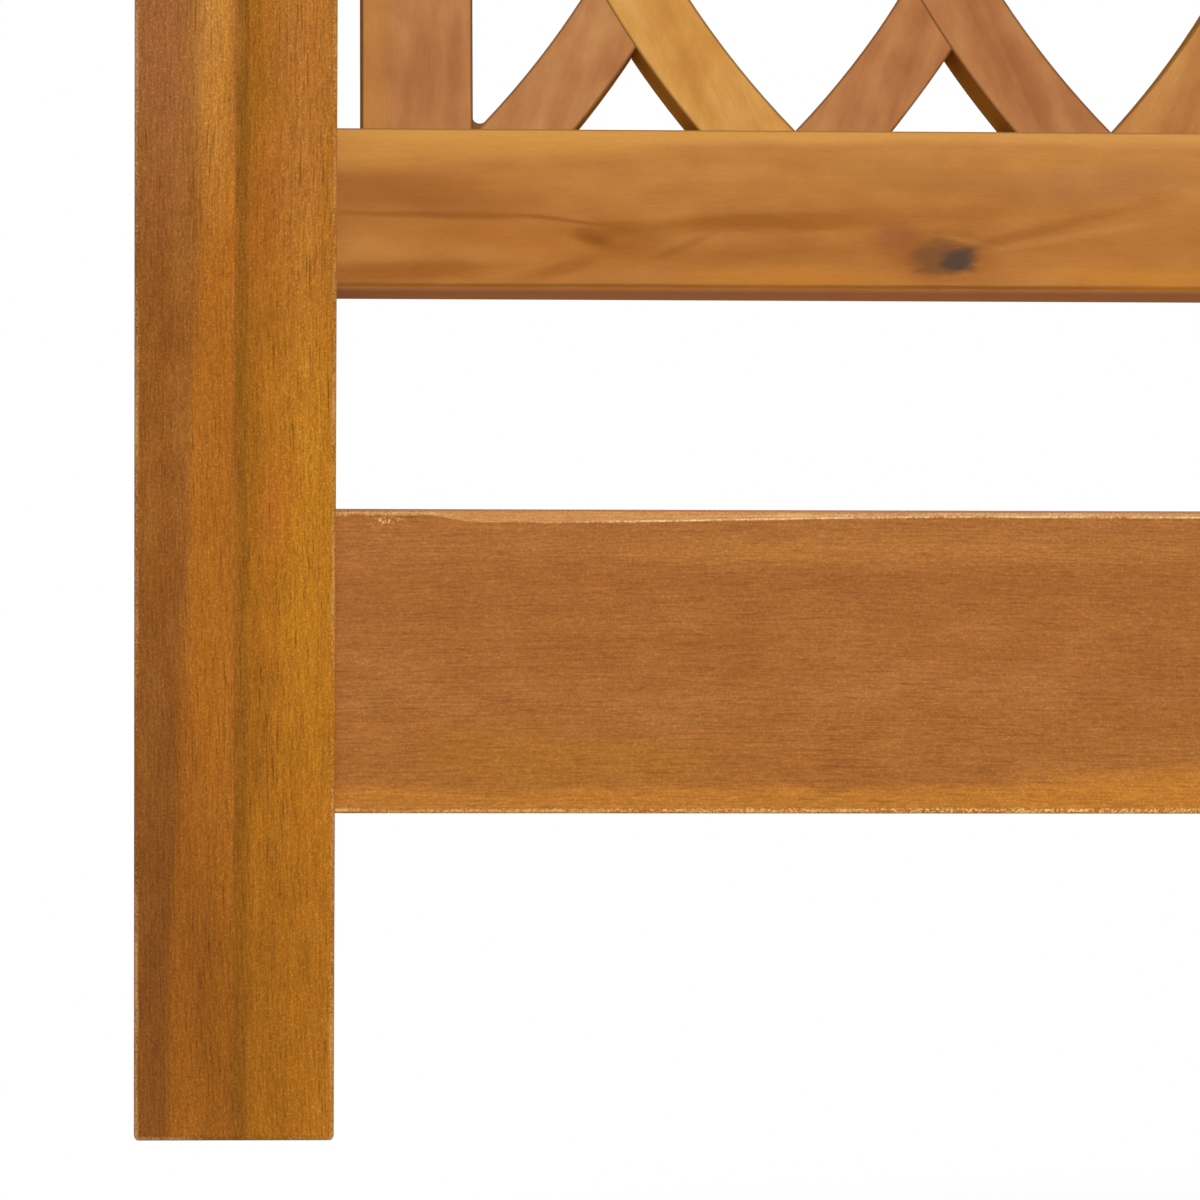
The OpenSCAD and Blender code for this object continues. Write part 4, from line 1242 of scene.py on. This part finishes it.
@dataclass
class Backrest:
    """Two rails, two stiles and the half-lapped curved slats between them.

    Lengths are in metres. The face lies in a plane that leans back.
    """

    recline: float = 9.0
    bays: int = 7
    half_span: float = 0.5295
    stile_inset: float = 0.021
    stile_width: float = 0.046
    stile_gap: float = 0.002
    slat_width: float = 0.030
    slat_gap: float = 0.003
    height: float = 0.250
    tenon: float = 0.014

    def __post_init__(self) -> None:
        """Works out the directions and the arcs."""
        self.up = leaning(self.recline)
        edge = self.stile_inset + self.stile_width + self.stile_gap
        self.start = -self.half_span + edge
        self.pitch = -2 * self.start / self.bays
        reach = self.pitch - self.slat_gap / 2 - self.slat_width
        self.foot = 2 * math.atan(reach / self.height)
        self.radius = self.height / math.sin(self.foot)
        self.centre_x = reach - self.radius
        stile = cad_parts["back_stile_left"].data.vertices
        self.top = max(self.up.dot(vertex.co) for vertex in stile) - self.tenon

    def curve(self, bay: int, way: float) -> Curve:
        """Arc of one curved slat.

        Args:
            bay: the bay, from 0 at the left.
            way: 1 for a slat that rises to the right, -1 to the left.

        Returns:
            The arc.
        """
        middle = self.start + (bay + 0.5) * self.pitch
        x = middle + way * (self.centre_x - self.pitch / 2)
        return Curve(
            X_AXIS * x + self.up * self.top,
            self.radius + self.slat_width / 2,
            self.slat_width / 2,
        )

    def slat(self, bay: int, way: float, finish: WoodFinish) -> None:
        """Dresses one curved slat, with its grain along its chord.

        Args:
            bay: the bay, from 0 at the left.
            way: 1 for a slat that rises to the right, -1 to the left.
            finish: its wood.
        """
        name = f"lattice_rising_{'right' if way > 0 else 'left'}_{bay + 1}"
        lean = way * self.foot / 2
        grain = self.up * math.cos(lean) + X_AXIS * math.sin(lean)
        across = X_AXIS * math.cos(lean) - self.up * math.sin(lean)
        Board(name, grain, across, self.curve(bay, way)).dress(finish)

    def build(self) -> None:
        """Dresses the rails, the stiles and the curved slats."""
        Board("back_lower_rail", X_AXIS, self.up).dress(LOWER_RAIL)
        Board("back_crest_rail", X_AXIS, self.up).dress(
            WoodFinish(CARAMEL, 71.0, bands=0.3, pores=0.25, arris=Arris.NONE)
        )
        Board("back_stile_left", self.up, X_AXIS).dress(STILE)
        Board("back_stile_right", self.up, X_AXIS).dress(WoodFinish(CHESTNUT, 77.0))
        rising = (ROSE, ROSE, CHESTNUT, AMBER, CARAMEL, RUSSET, CARAMEL)
        falling = (FLAX, ROSE, AMBER, CARAMEL, FLAX, AMBER, CHESTNUT)
        for bay in range(self.bays):
            for way, tones, step in ((1.0, rising, 3), (-1.0, falling, 0)):
                seed = SLAT.seed + 7 * bay + step
                self.slat(bay, way, replace(SLAT, tone=tones[bay], seed=seed))


@dataclass
class Armrests:
    """The two hollowed armrests on top of the posts."""

    def build(self) -> None:
        """Dresses both armrests."""
        for side, tone, seed in (("left", CARAMEL, 141.0), ("right", HONEY, 149.0)):
            Board(f"armrest_{side}", Y_AXIS, X_AXIS).dress(
                WoodFinish(tone, seed, bands=0.34, arris=Arris.NONE)
            )


def paint(names: tuple[str, ...], material: bpy.types.Material) -> None:
    """Gives nodes one material and reports each.

    Args:
        names: the nodes.
        material: what they get.
    """
    for name in names:
        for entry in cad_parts[name].material_slots:
            entry.material = material
        LOG.info("%s: %s", name, material.name)


def both(*names: str) -> tuple[str, ...]:
    """Each name with _left and with _right."""
    return tuple(f"{name}_{side}" for name in names for side in ("left", "right"))


@dataclass
class Hanging:
    """Chains, rings, connectors, pivots and beam brackets."""

    def build(self) -> None:
        """Dresses the metal and plastic nodes."""
        zinc = ZINC.material("zinc_plate")
        paint(both("chain_front", "chain_rear", "gathering_ring"), zinc)
        paint(both("oval_connector", "pivot_strap", "beam_bracket"), zinc)
        paint(("eye_bolts", "eye_bolt_fixings", "pivot_bolts"), zinc)
        stainless = STAINLESS.material("stainless_steel")
        paint(("seat_screws", "frame_bolts", "barrel_nuts"), stainless)
        paint(("pivot_bushes",), NYLON.material("moulded_nylon"))


@dataclass
class Studio:
    """Camera, lights, white surroundings and a pale floor.

    Angles are in degrees. A lamp has its name, direction, irradiance and spread.
    """

    eye: Triple = (-0.55763, -1.45277, -1.70798)
    yaw: float = 1.730
    pitch: float = 3.113
    roll: float = 0.222
    lens: float = 117.3
    sensor: float = 36.0
    shift: float = 0.2
    daylight: float = 0.56
    floor_height: float = -2.20
    floor_radius: float = 1.0
    floor_steps: int = 96
    floor_fade: float = 0.6
    floor_glow: float = 0.40
    lamps: tuple[tuple, ...] = (
        ("key", (0.22, -0.82, 0.53), 1.40, 30.0),
        ("fill", (-0.75, -0.45, 0.30), 0.25, 60.0),
        ("back", (0.30, 0.85, 0.45), 0.45, 60.0),
    )

    def camera(self) -> None:
        """Sets the camera where the photograph was taken from."""
        data = bpy.data.cameras.new("camera")
        data.lens = self.lens
        data.sensor_width = self.sensor
        data.shift_x = self.shift
        data.clip_start, data.clip_end = 0.05, 50.0
        held = bpy.data.objects.new("camera", data)
        bpy.context.scene.collection.objects.link(held)
        held.location = self.eye
        angles = (90 - self.pitch, -self.roll, -self.yaw)
        held.rotation_euler = Euler([math.radians(angle) for angle in angles])
        bpy.context.scene.camera = held

    def lights(self) -> None:
        """Adds the soft distant lamps."""
        for name, towards, power, spread in self.lamps:
            data = bpy.data.lights.new(name, "SUN")
            data.energy = power
            data.angle = math.radians(spread)
            lamp = bpy.data.objects.new(name, data)
            lamp.rotation_euler = Vector(towards).to_track_quat("Z", "Y").to_euler()
            bpy.context.scene.collection.objects.link(lamp)

    def surroundings(self) -> None:
        """Plain soft light for surfaces, and white where the camera or a reflection looks."""
        world = bpy.data.worlds.new("surroundings")
        world.use_nodes = True
        bpy.context.scene.world = world
        graph = Graph(world.node_tree)
        span = (graph.seen(), 0.0, 1.0, self.daylight, 1.0)
        strength = graph.node("ShaderNodeMapRange", *span).outputs[0]
        background = graph.node("ShaderNodeBackground", (1, 1, 1, 1), strength)
        graph.node("ShaderNodeOutputWorld", background.outputs[0])

    def floor(self) -> None:
        """A pale round floor that fades out towards its rim and is clear from below."""
        turns = [2 * math.pi * step / self.floor_steps for step in range(self.floor_steps)]
        radius, height = self.floor_radius, self.floor_height
        rim = [(radius * math.cos(a), radius * math.sin(a), height) for a in turns]
        mesh = bpy.data.meshes.new("floor")
        mesh.from_pydata(rim, [], [tuple(range(self.floor_steps))])
        disc = bpy.data.objects.new("floor", mesh)
        bpy.context.scene.collection.objects.link(disc)
        made = Surface("pale_floor")
        place = made.place()
        x, y, _ = made.parts(place)
        far = made.vector("LENGTH", made.triple(x, y, 0.0))
        share = made.scaled(made.noise(place, (40.0, 40.0, 40.0), 2.0), 0.1, 0.3)
        behind = made.node("ShaderNodeNewGeometry").outputs["Backfacing"]
        shown = made.smooth(far, radius, radius * self.floor_fade)
        made.give("Base Color", made.mix(share, linear("#DCDBD8"), linear("#E4E3E0")))
        made.give("Roughness", 0.9)
        made.give("Specular IOR Level", 0.0)
        made.give("Emission Color", (1, 1, 1, 1))
        made.give("Emission Strength", made.times(made.seen(), self.floor_glow))
        made.give("Alpha", made.times(shown, made.minus(1.0, behind)))
        mesh.materials.append(made.material)

    def build(self) -> None:
        """Sets up camera, lights, surroundings and floor."""
        bpy.context.scene.view_settings.view_transform = "Standard"
        self.camera()
        self.surroundings()
        self.lights()
        self.floor()
        LOG.info("studio: camera, three soft lamps, white surroundings and a pale floor")


def main() -> None:
    """Builds the sub-assemblies in order."""
    logging.basicConfig(level=logging.INFO, format="%(message)s")
    for part in (
        EndFrames(),
        SeatFrame(),
        Seat(),
        SeatScrews(),
        Backrest(),
        Armrests(),
        Hanging(),
        Studio(),
    ):
        part.build()


if __name__ == "__main__":
    main()
